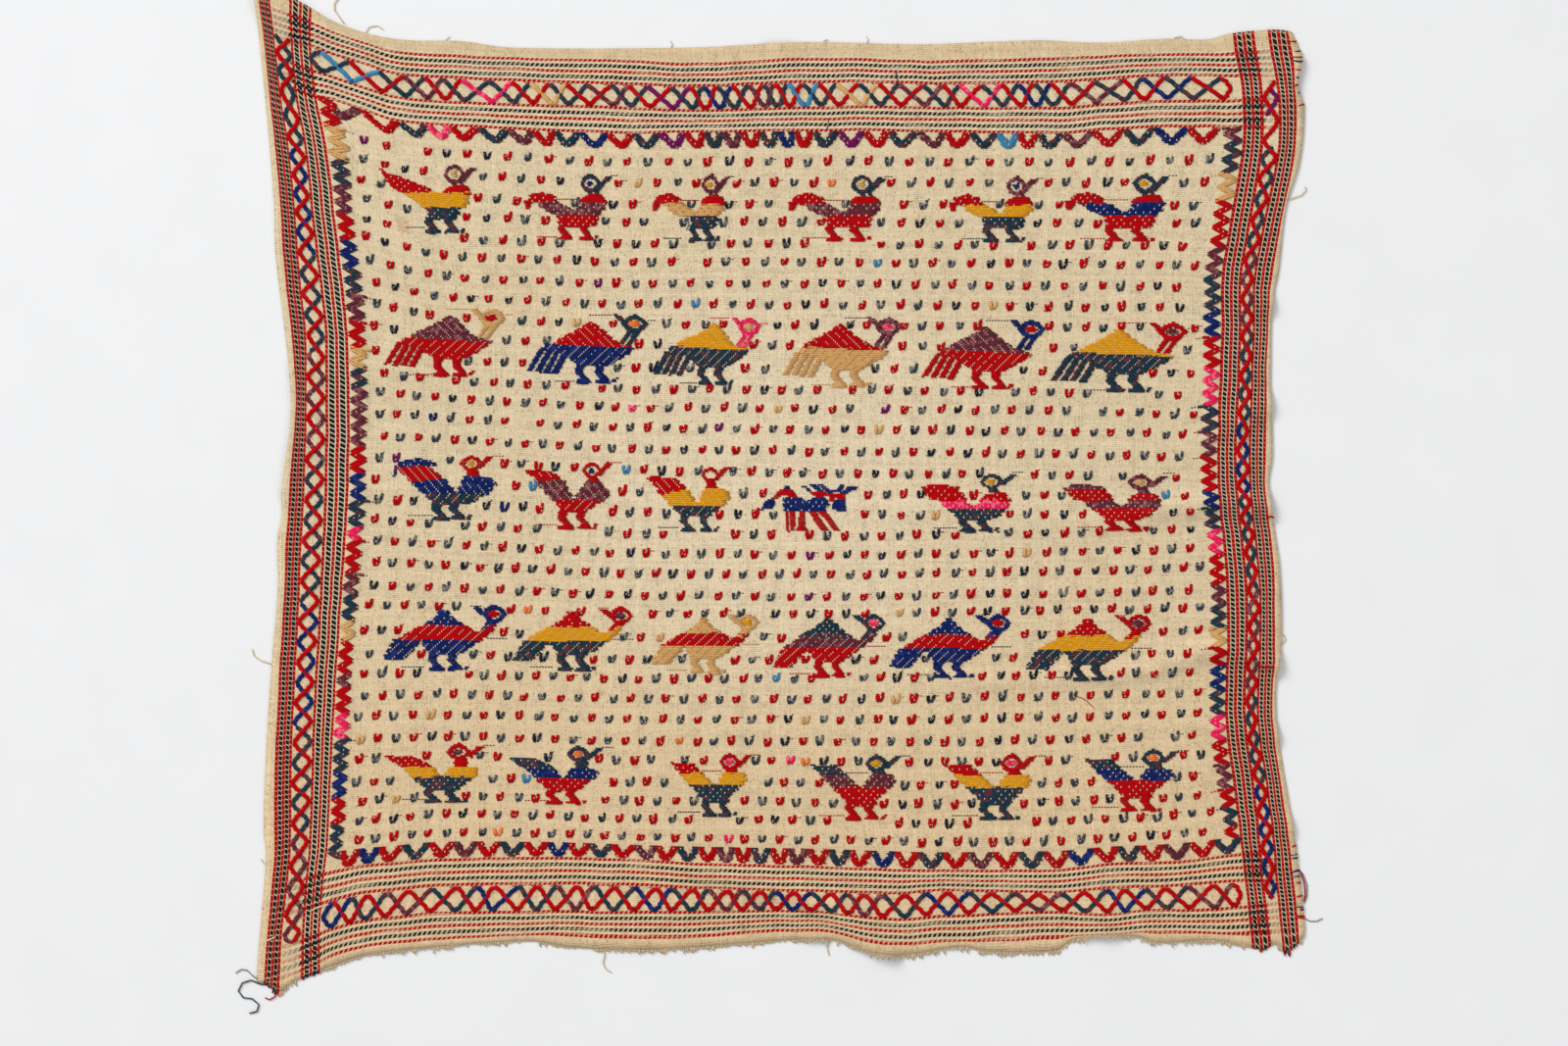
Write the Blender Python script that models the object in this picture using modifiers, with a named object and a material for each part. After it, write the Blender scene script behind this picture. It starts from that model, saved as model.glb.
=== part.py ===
"""A hand-woven embroidered cloth, laid out flat.

One cloth, one loom width wide: plain-weave cotton with woven stripes and thick brocading yarn.
It is one closed sheet. Its underside lies flat on the surface, and a few soft folds rise from it.
The frame has +X across the cloth, +Y up its length and +Z up, with the origin under its middle.
"""

import math
from collections import namedtuple

import bmesh
import bpy
from mathutils import Vector

MM = 0.001

# Driving sizes, in mm
THICKNESS = 1.2
SIDE_REACH = 218.0
CELLS_ACROSS = 84
CELLS_ALONG = 80
COTTON = (0.70, 0.60, 0.38, 1.0)
COTTON_ROUGHNESS = 0.9

# Each edge is a table of a place along it and where the edge lies there, in mm from the cloth's middle
EdgePoint = namedtuple("EdgePoint", "along at")

LEFT_EDGE = [
    EdgePoint(along=-206.6, at=-223.9),
    EdgePoint(along=-180.0, at=-221.8),
    EdgePoint(along=-155.0, at=-219.9),
    EdgePoint(along=-146.0, at=-220.9),
    EdgePoint(along=-115.0, at=-220.1),
    EdgePoint(along=-71.0, at=-217.3),
    EdgePoint(along=-41.0, at=-214.8),
    EdgePoint(along=-21.0, at=-215.1),
    EdgePoint(along=-11.0, at=-213.4),
    EdgePoint(along=1.0, at=-213.2),
    EdgePoint(along=35.0, at=-209.2),
    EdgePoint(along=64.0, at=-211.3),
    EdgePoint(along=102.0, at=-215.9),
    EdgePoint(along=125.0, at=-216.6),
    EdgePoint(along=184.0, at=-221.8),
    EdgePoint(along=214.2, at=-225.1),
]
RIGHT_EDGE = [
    EdgePoint(along=-190.5, at=225.1),
    EdgePoint(along=-187.0, at=225.5),
    EdgePoint(along=-153.0, at=221.7),
    EdgePoint(along=-137.0, at=219.2),
    EdgePoint(along=-105.0, at=214.1),
    EdgePoint(along=-86.0, at=212.9),
    EdgePoint(along=-64.0, at=215.3),
    EdgePoint(along=-32.0, at=214.6),
    EdgePoint(along=-19.0, at=212.8),
    EdgePoint(along=4.0, at=210.0),
    EdgePoint(along=16.0, at=211.5),
    EdgePoint(along=49.0, at=210.7),
    EdgePoint(along=81.0, at=211.5),
    EdgePoint(along=95.0, at=214.2),
    EdgePoint(along=122.0, at=217.3),
    EdgePoint(along=141.0, at=223.0),
    EdgePoint(along=165.0, at=225.1),
    EdgePoint(along=174.0, at=222.2),
    EdgePoint(along=186.5, at=223.9),
    EdgePoint(along=197.4, at=219.7),
]
BOTTOM_EDGE = [
    EdgePoint(along=-223.9, at=-206.6),
    EdgePoint(along=-214.2, at=-214.2),
    EdgePoint(along=-209.0, at=-210.0),
    EdgePoint(along=-192.0, at=-203.0),
    EdgePoint(along=-177.0, at=-198.0),
    EdgePoint(along=-153.0, at=-195.3),
    EdgePoint(along=-124.0, at=-192.8),
    EdgePoint(along=-105.0, at=-192.2),
    EdgePoint(along=-89.0, at=-194.9),
    EdgePoint(along=-51.0, at=-195.7),
    EdgePoint(along=-11.0, at=-192.8),
    EdgePoint(along=22.0, at=-191.5),
    EdgePoint(along=39.0, at=-196.6),
    EdgePoint(along=56.0, at=-197.8),
    EdgePoint(along=78.0, at=-194.5),
    EdgePoint(along=90.0, at=-196.6),
    EdgePoint(along=119.0, at=-196.1),
    EdgePoint(along=126.0, at=-191.4),
    EdgePoint(along=152.5, at=-189.8),
    EdgePoint(along=162.5, at=-192.8),
    EdgePoint(along=185.0, at=-191.7),
    EdgePoint(along=207.0, at=-195.7),
    EdgePoint(along=213.0, at=-193.2),
    EdgePoint(along=218.0, at=-196.6),
    EdgePoint(along=225.1, at=-190.5),
]
TOP_EDGE = [
    EdgePoint(along=-225.1, at=214.2),
    EdgePoint(along=-218.0, at=214.6),
    EdgePoint(along=-206.6, at=210.8),
    EdgePoint(along=-190.0, at=201.2),
    EdgePoint(along=-173.0, at=195.7),
    EdgePoint(along=-158.0, at=193.6),
    EdgePoint(along=-136.0, at=193.2),
    EdgePoint(along=-115.0, at=190.5),
    EdgePoint(along=-38.0, at=190.5),
    EdgePoint(along=10.0, at=192.8),
    EdgePoint(along=63.0, at=191.9),
    EdgePoint(along=110.0, at=193.6),
    EdgePoint(along=138.0, at=192.6),
    EdgePoint(along=166.0, at=194.2),
    EdgePoint(along=184.0, at=194.0),
    EdgePoint(along=194.0, at=196.6),
    EdgePoint(along=213.0, at=198.2),
    EdgePoint(along=219.7, at=197.4),
]

# A fold is a soft ridge from one place to another, in mm. Folds that share an end run on into each other.
Fold = namedtuple("Fold", "x0 y0 x1 y1 half_width rise0 rise1")

FOLDS = [
    # the long slanting fold that runs out at the bottom edge, and the lesser one beside it
    Fold(x0=-59, y0=-155, x1=-10, y1=-168, half_width=8, rise0=0.6, rise1=1.9),
    Fold(x0=-10, y0=-168, x1=23, y1=-178, half_width=9, rise0=1.9, rise1=3.0),
    Fold(x0=23, y0=-178, x1=45, y1=-198, half_width=10, rise0=3.0, rise1=4.0),
    Fold(x0=-2, y0=-178, x1=17, y1=-193, half_width=7, rise0=0.5, rise1=1.6),
    # the crease across the right half, below the middle
    Fold(x0=57, y0=-82, x1=128, y1=-80, half_width=7, rise0=0.5, rise1=1.3),
    Fold(x0=128, y0=-80, x1=158, y1=-76, half_width=7, rise0=1.3, rise1=1.8),
    Fold(x0=158, y0=-76, x1=187, y1=-67, half_width=8, rise0=1.8, rise1=2.6),
    Fold(x0=187, y0=-67, x1=215, y1=-74, half_width=8, rise0=2.6, rise1=3.0),
    # the broad ripple across the right half, at the middle
    Fold(x0=57, y0=-10, x1=128, y1=-14, half_width=10, rise0=0.5, rise1=1.0),
    Fold(x0=128, y0=-14, x1=187, y1=-4, half_width=9, rise0=1.0, rise1=2.2),
    Fold(x0=187, y0=-4, x1=212, y1=-6, half_width=9, rise0=2.2, rise1=3.0),
    # short ripples where the right selvedge is drawn in
    Fold(x0=181, y0=85, x1=212, y1=80, half_width=7, rise0=0.4, rise1=2.2),
    Fold(x0=176, y0=20, x1=212, y1=38, half_width=8, rise0=0.4, rise1=2.2),
    Fold(x0=176, y0=-100, x1=214, y1=-104, half_width=7, rise0=0.4, rise1=1.8),
    Fold(x0=196, y0=-140, x1=221, y1=-143, half_width=7, rise0=0.4, rise1=1.6),
    Fold(x0=214, y0=150, x1=223, y1=184, half_width=7, rise0=0.8, rise1=2.0),
    # the lifted stretch of the bottom edge
    Fold(x0=130, y0=-168, x1=139, y1=-191, half_width=14, rise0=0.5, rise1=2.5),
    # the left selvedge where it curls, and the pulled top left corner
    Fold(x0=-210, y0=52, x1=-213, y1=-2, half_width=6, rise0=1.2, rise1=1.2),
    Fold(x0=-222, y0=211, x1=-168, y1=181, half_width=13, rise0=3.0, rise1=0.5),
    # the soft hump in the top band
    Fold(x0=0, y0=193, x1=2, y1=150, half_width=11, rise0=1.6, rise1=0.4),
]


def edge_at(table, along):
    """Where an edge lies at a place along it: a smooth curve through the table's points."""
    last = len(table) - 1
    if along <= table[0].along:
        return table[0].at
    if along >= table[last].along:
        return table[last].at
    i = max(k for k in range(last) if table[k].along <= along)

    def slope(k):
        before = table[max(k - 1, 0)]
        after = table[min(k + 1, last)]
        return (after.at - before.at) / (after.along - before.along)

    step = table[i + 1].along - table[i].along
    t = (along - table[i].along) / step
    start = (1 + 2 * t) * (1 - t) ** 2 * table[i].at + t * (1 - t) ** 2 * step * slope(i)
    end = t * t * (3 - 2 * t) * table[i + 1].at + t * t * (t - 1) * step * slope(i + 1)
    return start + end


def between(low, high, share):
    """The value a share of the way from low to high."""
    return low + (high - low) * share


def place_on_cloth(across, along):
    """Where a point of the cloth lies in plan, in mm. Both shares run from 0 to 1."""
    x = between(-SIDE_REACH, SIDE_REACH, across)
    y = between(edge_at(BOTTOM_EDGE, x), edge_at(TOP_EDGE, x), along)
    x = between(edge_at(LEFT_EDGE, y), edge_at(RIGHT_EDGE, y), across)
    y = between(edge_at(BOTTOM_EDGE, x), edge_at(TOP_EDGE, x), along)
    return x, y


def rise_of(fold, x, y):
    """How far one fold lifts the cloth at a place, in mm. Its section is a soft bell."""
    run_x = fold.x1 - fold.x0
    run_y = fold.y1 - fold.y0
    share = ((x - fold.x0) * run_x + (y - fold.y0) * run_y) / (run_x**2 + run_y**2)
    share = min(max(share, 0.0), 1.0)
    away = math.hypot(x - fold.x0 - share * run_x, y - fold.y0 - share * run_y)
    if away >= fold.half_width:
        return 0.0
    bell = math.cos(0.5 * math.pi * away / fold.half_width) ** 2
    return between(fold.rise0, fold.rise1, share) * bell


def underside_at(x, y):
    """The height of the cloth's underside, in mm: 0 where it lies on the surface."""
    return max(rise_of(fold, x, y) for fold in FOLDS)


def clear_scene():
    for obj in list(bpy.data.objects):
        bpy.data.objects.remove(obj, do_unlink=True)


def cloth_material():
    material = bpy.data.materials.new("natural_cotton")
    material.use_nodes = True
    shader = material.node_tree.nodes["Principled BSDF"]
    shader.inputs["Base Color"].default_value = COTTON
    shader.inputs["Roughness"].default_value = COTTON_ROUGHNESS
    shader.inputs["Metallic"].default_value = 0.0
    return material


def make_cloth(collection):
    """The cloth's underside as a grid laid to the outline and folds, thickened upwards."""
    sheet = bmesh.new()
    bmesh.ops.create_grid(sheet, x_segments=CELLS_ACROSS, y_segments=CELLS_ALONG, size=0.5)
    for vert in sheet.verts:
        x, y = place_on_cloth(vert.co.x + 0.5, vert.co.y + 0.5)
        vert.co = Vector((x, y, underside_at(x, y))) * MM
    mesh = bpy.data.meshes.new("cloth_panel")
    sheet.to_mesh(mesh)
    sheet.free()
    mesh.materials.append(cloth_material())

    cloth = bpy.data.objects.new("cloth_panel", mesh)
    collection.objects.link(cloth)
    solidify = cloth.modifiers.new("thickness", "SOLIDIFY")
    solidify.thickness = THICKNESS * MM
    solidify.offset = 1.0
    return cloth


def centre_in_plan(cloth):
    """Moves the cloth so that the origin is under the middle of its outline."""
    xs = [vert.co.x for vert in cloth.data.vertices]
    ys = [vert.co.y for vert in cloth.data.vertices]
    cloth.location.x = -0.5 * (min(xs) + max(xs))
    cloth.location.y = -0.5 * (min(ys) + max(ys))


def main():
    clear_scene()
    collection = bpy.data.collections.new("embroidered_textile_panel")
    bpy.context.scene.collection.children.link(collection)
    centre_in_plan(make_cloth(collection))


main()
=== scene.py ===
"""The looks of a hand-woven brocaded cloth, laid out flat.

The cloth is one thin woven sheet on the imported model's folds. Thick yarn lies on it: two braids, two
toothed columns, two lattice bands, two waves, rows of small seed marks and five rows of birds.
Everything on the cloth is placed by weave coordinates, in mm: u runs across it and v runs up it. The woven
lines, which wander, say where each weave place lies in plan. Readings from the picture are in its pixels.
"""

import math
from collections import namedtuple

import bpy
import numpy as np
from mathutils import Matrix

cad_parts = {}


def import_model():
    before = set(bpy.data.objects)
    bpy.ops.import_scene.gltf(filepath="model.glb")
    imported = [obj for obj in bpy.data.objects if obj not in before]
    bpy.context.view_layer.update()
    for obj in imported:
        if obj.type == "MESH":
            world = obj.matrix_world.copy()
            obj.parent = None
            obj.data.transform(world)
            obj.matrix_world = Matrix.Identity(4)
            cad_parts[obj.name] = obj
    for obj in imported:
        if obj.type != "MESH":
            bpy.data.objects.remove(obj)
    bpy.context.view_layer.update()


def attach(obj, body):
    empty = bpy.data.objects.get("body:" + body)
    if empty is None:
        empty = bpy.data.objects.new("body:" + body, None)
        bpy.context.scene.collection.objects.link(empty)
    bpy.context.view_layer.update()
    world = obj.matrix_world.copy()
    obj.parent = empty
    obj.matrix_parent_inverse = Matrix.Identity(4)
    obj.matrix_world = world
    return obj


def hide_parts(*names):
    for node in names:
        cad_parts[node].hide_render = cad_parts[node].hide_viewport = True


MM = 0.001

# The picture's size in pixels, what a pixel measures, and where the middle of the cloth is in it
PICTURE_WIDTH = 1600
PICTURE_HEIGHT = 1067
MM_PER_PIXEL = 0.42
MIDDLE_X = 795.0
MIDDLE_Y = 502.0

# Sizes of the cloth and its yarn, in mm
CLOTH_THICKNESS = 0.55
CELLS_ACROSS = 210
CELLS_ALONG = 190
WARP_PITCH = 0.61
WEFT_PITCH = 0.78
STRAND_WIDTH = 2.2
STRAND_HEIGHT = 0.85
BRAID_HALF_TURN = 8.2
TOOTH_HALF_PITCH = 2.73
TOOTH_WIDTH = 1.6
PICK_WIDTH = 1.0
PICK_HEIGHT = 0.75
TIE_WIDTH = 0.66
TIE_HEIGHT = 0.34
SLANTED_TIE_PITCH = 4.2
SCATTERED_TIE_PITCH = 3.1
RED_SEED_WIDTH = 1.85
DARK_SEED_WIDTH = 1.6
RARE_SEED_WIDTH = 1.7

# Yarn colours as they look in daylight, red green blue from 0 to 255
YARN_COLOURS = {
    "red": (180, 0, 8),
    "teal": (26, 54, 70),
    "navy": (26, 32, 46),
    "slate": (52, 62, 72),
    # the dark brown of the dots on tan, painted shade between its threads
    "painted_tie_shade": (172, 126, 72),
    "blue": (14, 32, 92),
    "purple": (98, 38, 52),
    "magenta": (112, 16, 86),
    "gold": (218, 152, 20),
    "tan": (208, 161, 101),
    "pink": (238, 30, 90),
    "sky": (62, 130, 174),
    "orange": (242, 120, 56),
    "cream": (218, 198, 158),
    "hem": (212, 186, 146),
    "grey": (120, 120, 122),
}
# What the flecked yarns are flecked with
FLECKS = {
    "teal": (100, 48, 52),
    "navy": (84, 88, 96),
    "slate": (124, 124, 124),
    "purple": (140, 84, 88),
    "blue": (34, 50, 112),
    "pink": (240, 100, 128),
}
GROUND = (220, 201, 167)
STRIPE_RED = (170, 0, 6)
STRIPE_NAVY = (16, 22, 28)


def lines_of(text):
    """The lines of a text. A line that ends with a comma goes on in the next one."""
    return text.strip().replace(",\n", ",").splitlines()


def pairs(text):
    """Points from text, as rows of two numbers."""
    return np.array([pair.split() for pair in text.split(",")], float)


def table(text):
    """A row of numbers from each line of a text."""
    return np.array([line.split() for line in lines_of(text)], float)


def coloured_places(text):
    """Places from text, each with the name of a yarn."""
    return [(float(place), colour) for place, colour in (entry.split() for entry in text.split(","))]


# Each edge as places along it and where the edge lies there, in mm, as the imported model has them
LEFT_EDGE = pairs("""
    -206.6 -223.9, -180 -221.8, -155 -219.9, -146 -220.9, -115 -220.1, -71 -217.3, -41 -214.8, -21 -215.1,
    -11 -213.4, 1 -213.2, 35 -209.2, 64 -211.3, 102 -215.9, 125 -216.6, 184 -221.8, 214.2 -225.1
""")
RIGHT_EDGE = pairs("""
    -190.5 225.1, -187 225.5, -153 221.7, -137 219.2, -105 214.1, -86 212.9, -64 215.3, -32 214.6,
    -19 212.8, 4 210, 16 211.5, 49 210.7, 81 211.5, 95 214.2, 122 217.3, 141 223, 165 225.1, 174 222.2,
    186.5 223.9, 197.4 219.7
""")
BOTTOM_EDGE = pairs("""
    -223.9 -206.6, -214.2 -214.2, -209 -210, -192 -203, -177 -198, -153 -195.3, -124 -192.8, -105 -192.2,
    -89 -194.9, -51 -195.7, -11 -192.8, 22 -191.5, 39 -196.6, 56 -197.8, 78 -194.5, 90 -196.6, 119 -196.1,
    126 -191.4, 152.5 -189.8, 162.5 -192.8, 185 -191.7, 207 -195.7, 213 -193.2, 218 -196.6, 225.1 -190.5
""")
TOP_EDGE = pairs("""
    -225.1 214.2, -218 214.6, -206.6 210.8, -190 201.2, -173 195.7, -158 193.6, -136 193.2, -115 190.5,
    -38 190.5, 10 192.8, 63 191.9, 110 193.6, 138 192.6, 166 194.2, 184 194, 194 196.6, 213 198.2,
    219.7 197.4
""")

# Each fold in plan, in mm: where it starts and ends, its half width, and its rise at its start and end
FOLDS = table("""
    -59 -155 -10 -168 8 0.6 1.9
    -10 -168 23 -178 9 1.9 3.0
    23 -178 45 -198 10 3.0 4.0
    -2 -178 17 -193 7 0.5 1.6
    57 -82 128 -80 7 0.5 1.3
    128 -80 158 -76 7 1.3 1.8
    158 -76 187 -67 8 1.8 2.6
    187 -67 215 -74 8 2.6 3.0
    57 -10 128 -14 10 0.5 1.0
    128 -14 187 -4 9 1.0 2.2
    187 -4 212 -6 9 2.2 3.0
    181 85 212 80 7 0.4 2.2
    176 20 212 38 8 0.4 2.2
    176 -100 214 -104 7 0.4 1.8
    196 -140 221 -143 7 0.4 1.6
    214 150 223 184 7 0.8 2.0
    130 -168 139 -191 14 0.5 2.5
    -210 52 -213 -2 6 1.2 1.2
    -222 211 -168 181 13 3.0 0.5
    0 193 2 150 11 1.6 0.4
""")

# Where the lines up the cloth lie in the picture. A row has its pixel y and then a pixel x for each line:
# the first and last of the outer stripes, of the inner stripes, and the tips of the teeth, and then those of
# the right half from the middle out.
SIDE_LINES = table("""
    0 265.3 274.5 296.2 317.5 338 1236 1256 1273 1291 1309
    50 271 280 297.7 316.8 338 1240 1262.5 1280 1298 1316
    100 275.7 285.7 302 322 343 1247 1270.4 1286.4 1306 1320.4
    150 281.5 293.5 311.3 331.8 357 1246.5 1270 1286 1306 1320
    220 288 300.5 318.5 340.5 361.5 1237 1258.5 1275.5 1292.5 1308.5
    285 292.3 305 326.5 348 370.5 1228 1248.5 1265 1280.5 1296
    340 298.5 311 332.3 353.5 375 1227.5 1248.6 1264.8 1279.7 1293
    400 303 311.5 332.6 355.5 376 1226.6 1245.7 1262.7 1277.6 1290.9
    440 301 311 332.7 355.9 375 1224.5 1244.9 1260.2 1276 1290
    505 296.2 309 331.8 354.5 374.5 1225.5 1245 1261.2 1276.7 1290
    560 293 306 329.5 351 370 1232.4 1250.7 1267.7 1282.6 1296.7
    620 290 303.5 326.5 347 365 1235 1254 1272 1287 1299
    680 286.5 300.5 323 343 360 1234 1253 1270 1285 1298.5
    740 284 297.5 320 339.5 357.5 1234.5 1252.7 1270 1284.6 1298
    800 282 296 318.5 336.5 354.5 1241.8 1260.6 1278 1293.5 1306
    860 281.8 295.4 316 333.7 350.5 1250 1268 1284 1300.5 1313.5
    900 279 292.4 312.5 329.3 346 1254 1272.4 1287.4 1303.4 1318.4
    950 274.3 286.5 309.2 325.5 341 1258 1278 1293.9 1308.5 1323.2
    1000 270 283.5 308 326 341 1262 1282 1298 1313 1327
""")
# Where the lines across the cloth lie in the picture. A row has its pixel x and then a pixel y for each
# line: the first and last of the two top stripe groups, seven of the seed rows, and the first and last of the
# two bottom groups.
BAND_LINES = table("""
    268 6 32 56 78 118 222 340 466 530 691 872 902 937 967 1003
    295 15.5 42 64 88 126 227 345 467 530 690 866 899 932 965 995
    318 24 47 72 97 131 231 349 467 530 689 862 895 925 956 985
    340 33.3 54.8 78.5 101 135 235 352 467 530 688 859 889.5 917.5 947.5 974
    372 44 65 90 111.5 142 240 355 467 530 687.5 856 883.5 910.5 940 965.5
    400 52 74 98 122 149 248 359 467 530.7 687 854 881 907.5 936.5 961.5
    450 56.5 78 103.5 126.5 154.6 260 366 468 533.7 687 849.5 877.5 903 932 957.5
    560 60.5 83 108 132.5 162 265 371 475 540 690 851 875.5 901 930.5 953
    640 62 85 110 135 165 267 375 479 544 692 854 877.3 902 931 955
    700 65.7 87.2 112.9 134 165 267 375 480 545 692 855 880.7 904.8 930.8 955
    830 60.5 83 110 132.5 165 267 376 482 546 692 856.5 885 908.5 929.8 948.5
    910 62 83.5 109.5 132.5 165 268 376 483 546 691 859 887.7 910.5 937.9 961.5
    960 63.2 84.7 110.4 133.6 165 268 377 483 545 690 860 888.6 907.6 935 960.3
    1080 59.9 82.7 110 134.9 165 269 378 485 543 688 858 888.1 909.7 930.4 955.3
    1130 57.5 79.5 106.5 131.5 164.5 269.5 378.5 486 542 687 855 881.9 905.1 932.9 953
    1180 55.7 76.4 103.4 128.7 164 270 379 487.5 540.5 686 852.5 880.7 904.3 928.4 950.7
    1210 55.7 76 103 128.5 163 271 380 488.6 539 685.6 850.2 879 902 929 950.5
    1255 55.3 77 103 129 161 271 381 489 538 684 846 873 899 927 952.5
    1295 52.6 77.6 100.8 130.3 160 271 382 489 537 683 843 870 898 922.4 950
    1328 52 78 100 131 160 271 382 489 537 683 842 868 896 920 948
""")
U_NAMES = (
    "left_edge", "left_outer_a", "left_outer_b", "left_inner_a", "left_inner_b", "left_tips",
    "right_tips", "right_inner_b", "right_inner_a", "right_outer_b", "right_outer_a", "right_edge",
)
V_NAMES = (
    "bottom_edge", "bottom_10", "bottom_6", "bottom_5", "bottom_1", "row_34", "row_26", "row_19", "row_16",
    "row_11", "row_6", "row_1", "top_10", "top_6", "top_5", "top_1", "top_edge",
)


def plan_x(pixel):
    """From a pixel to mm in plan, where the middle of the cloth is 0."""
    return (np.asarray(pixel, float) - MIDDLE_X) * MM_PER_PIXEL


def plan_y(pixel):
    return (MIDDLE_Y - np.asarray(pixel, float)) * MM_PER_PIXEL


def smooth_at(stations, values, wanted):
    """Smooth curves through values, which have a row for each station. The result has one for each place."""
    wanted = np.clip(wanted, stations[0], stations[-1])
    i = np.clip(np.searchsorted(stations, wanted, side="right") - 1, 0, len(stations) - 2)
    slopes = np.empty_like(values)
    slopes[1:-1] = (values[2:] - values[:-2]) / (stations[2:] - stations[:-2])[:, None]
    slopes[0] = (values[1] - values[0]) / (stations[1] - stations[0])
    slopes[-1] = (values[-1] - values[-2]) / (stations[-1] - stations[-2])
    step = (stations[i + 1] - stations[i])[:, None]
    t = ((wanted - stations[i]) / (stations[i + 1] - stations[i]))[:, None]
    start = (1 + 2 * t) * (1 - t) ** 2 * values[i] + t * (1 - t) ** 2 * step * slopes[i]
    end = t * t * (3 - 2 * t) * values[i + 1] + t * t * (t - 1) * step * slopes[i + 1]
    return start + end


def follow(places, lines, new_lines):
    """Takes places between lines to the same shares between new lines, and keeps distances outside them."""
    result = new_lines[:, 0] + np.minimum(places - lines[:, 0], 0) + np.maximum(places - lines[:, -1], 0)
    for j in range(lines.shape[1] - 1):
        share = (places - lines[:, j]) / (lines[:, j + 1] - lines[:, j])
        result = result + np.clip(share, 0, 1) * (new_lines[:, j + 1] - new_lines[:, j])
    return result


class WovenLines:
    """The lines of one direction, from edge to edge, by their places along the cloth."""

    def __init__(self, first_edge, stations, values, last_edge):
        self.first_edge = first_edge
        self.last_edge = last_edge
        self.stations = stations
        self.values = values
        self.reference = self.at(stations).mean(axis=0, keepdims=True)

    def at(self, along):
        """Where every line lies at places along the cloth, one row for each place."""
        first = smooth_at(self.first_edge[:, 0], self.first_edge[:, 1:], along)
        last = smooth_at(self.last_edge[:, 0], self.last_edge[:, 1:], along)
        return np.hstack((first, smooth_at(self.stations, self.values, along), last))

    def to_plan(self, weave, along):
        """From weave places to places in plan."""
        return follow(weave, self.reference, self.at(along))

    def to_weave(self, plan, along):
        """From places in plan to weave places."""
        return follow(plan, self.at(along), self.reference)


def make_lines():
    """The lines up the cloth and those across it. Pixels y run down, so both are turned over."""
    sides = SIDE_LINES[::-1]
    up = WovenLines(LEFT_EDGE, plan_y(sides[:, 0]), plan_x(sides[:, 1:]), RIGHT_EDGE)
    across = WovenLines(BOTTOM_EDGE, plan_x(BAND_LINES[:, 0]), plan_y(BAND_LINES[:, :0:-1]), TOP_EDGE)
    return up, across


UP, ACROSS = make_lines()
U = dict(zip(U_NAMES, UP.reference[0]))
V = dict(zip(V_NAMES, ACROSS.reference[0]))


def plan_place(u, v):
    """Where weave places lie in plan, in mm."""
    x = np.array(u, float)
    y = np.array(v, float)
    for _ in range(5):
        x = UP.to_plan(u, y)
        y = ACROSS.to_plan(v, x)
    return x, y


def weave_place(pixel_x, pixel_y):
    """The weave places of readings from the picture."""
    x = np.atleast_1d(plan_x(pixel_x))
    y = np.atleast_1d(plan_y(pixel_y))
    x, y = np.broadcast_arrays(x, y)
    return UP.to_weave(x, y), ACROSS.to_weave(y, x)


def weave_v(pixel_x, pixel_y):
    """How far up the cloth one reading lies."""
    return float(weave_place(pixel_x, pixel_y)[1][0])


def pixel_over(u):
    """About where in the picture a place across the cloth is."""
    return float(MIDDLE_X + u / MM_PER_PIXEL)


def fold_rise(x, y):
    """How far the folds lift the cloth, in mm."""
    rise = np.zeros_like(x)
    for x0, y0, x1, y1, half_width, rise0, rise1 in FOLDS:
        run_x = x1 - x0
        run_y = y1 - y0
        share = np.clip(((x - x0) * run_x + (y - y0) * run_y) / (run_x**2 + run_y**2), 0, 1)
        away = np.hypot(x - x0 - share * run_x, y - y0 - share * run_y)
        bell = np.cos(0.5 * math.pi * np.minimum(away / half_width, 1)) ** 2
        rise = np.maximum(rise, (rise0 + (rise1 - rise0) * share) * bell)
    return rise


def ripple(x, y):
    """Slight unevenness all over, in mm, never under the surface that the cloth lies on."""
    waves = np.sin(x / 17 + 1.3 * np.sin(y / 41)) * np.sin(y / 23 + 0.8)
    waves = waves + 0.6 * np.sin(x / 9 - y / 31 + 2) * np.sin(y / 12 + x / 40)
    return 0.13 * (waves + 1.6)


def face_height(x, y):
    return fold_rise(x, y) + ripple(x, y) + CLOTH_THICKNESS


# Meshes

# Faces with the same number of corners: the points of each, where its corners lie in the UV map, and its
# material's slot
Faces = namedtuple("Faces", "rows uvs slots")


def make_mesh(name, verts, groups):
    """A mesh from points in mm and groups of faces."""
    sizes = np.concatenate([np.full(len(faces.rows), faces.rows.shape[1]) for faces in groups])
    loops = np.concatenate([faces.rows.ravel() for faces in groups]).astype(np.int32)
    slots = np.concatenate([faces.slots for faces in groups]).astype(np.int32)
    starts = np.concatenate(([0], np.cumsum(sizes)[:-1])).astype(np.int32)
    mesh = bpy.data.meshes.new(name)
    mesh.vertices.add(len(verts))
    mesh.vertices.foreach_set("co", (verts * MM).ravel())
    mesh.loops.add(len(loops))
    mesh.loops.foreach_set("vertex_index", loops)
    mesh.polygons.add(len(sizes))
    mesh.polygons.foreach_set("loop_start", starts)
    mesh.polygons.foreach_set("material_index", slots)
    mesh.polygons.foreach_set("use_smooth", np.ones(len(sizes), bool))
    mesh.update(calc_edges=True)
    layer = mesh.uv_layers.new(name="weave")
    layer.uv.foreach_set("vector", np.concatenate([faces.uvs.ravel() for faces in groups]))
    mesh.validate()
    return mesh


def add_piece(name, mesh, materials):
    piece = bpy.data.objects.new(name, mesh)
    for material in materials:
        mesh.materials.append(material)
    bpy.context.scene.collection.objects.link(piece)
    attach(piece, "root")
    return piece


# Yarn

Tube = namedtuple("Tube", "points width height colour sides on_cloth end_size")


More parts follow.
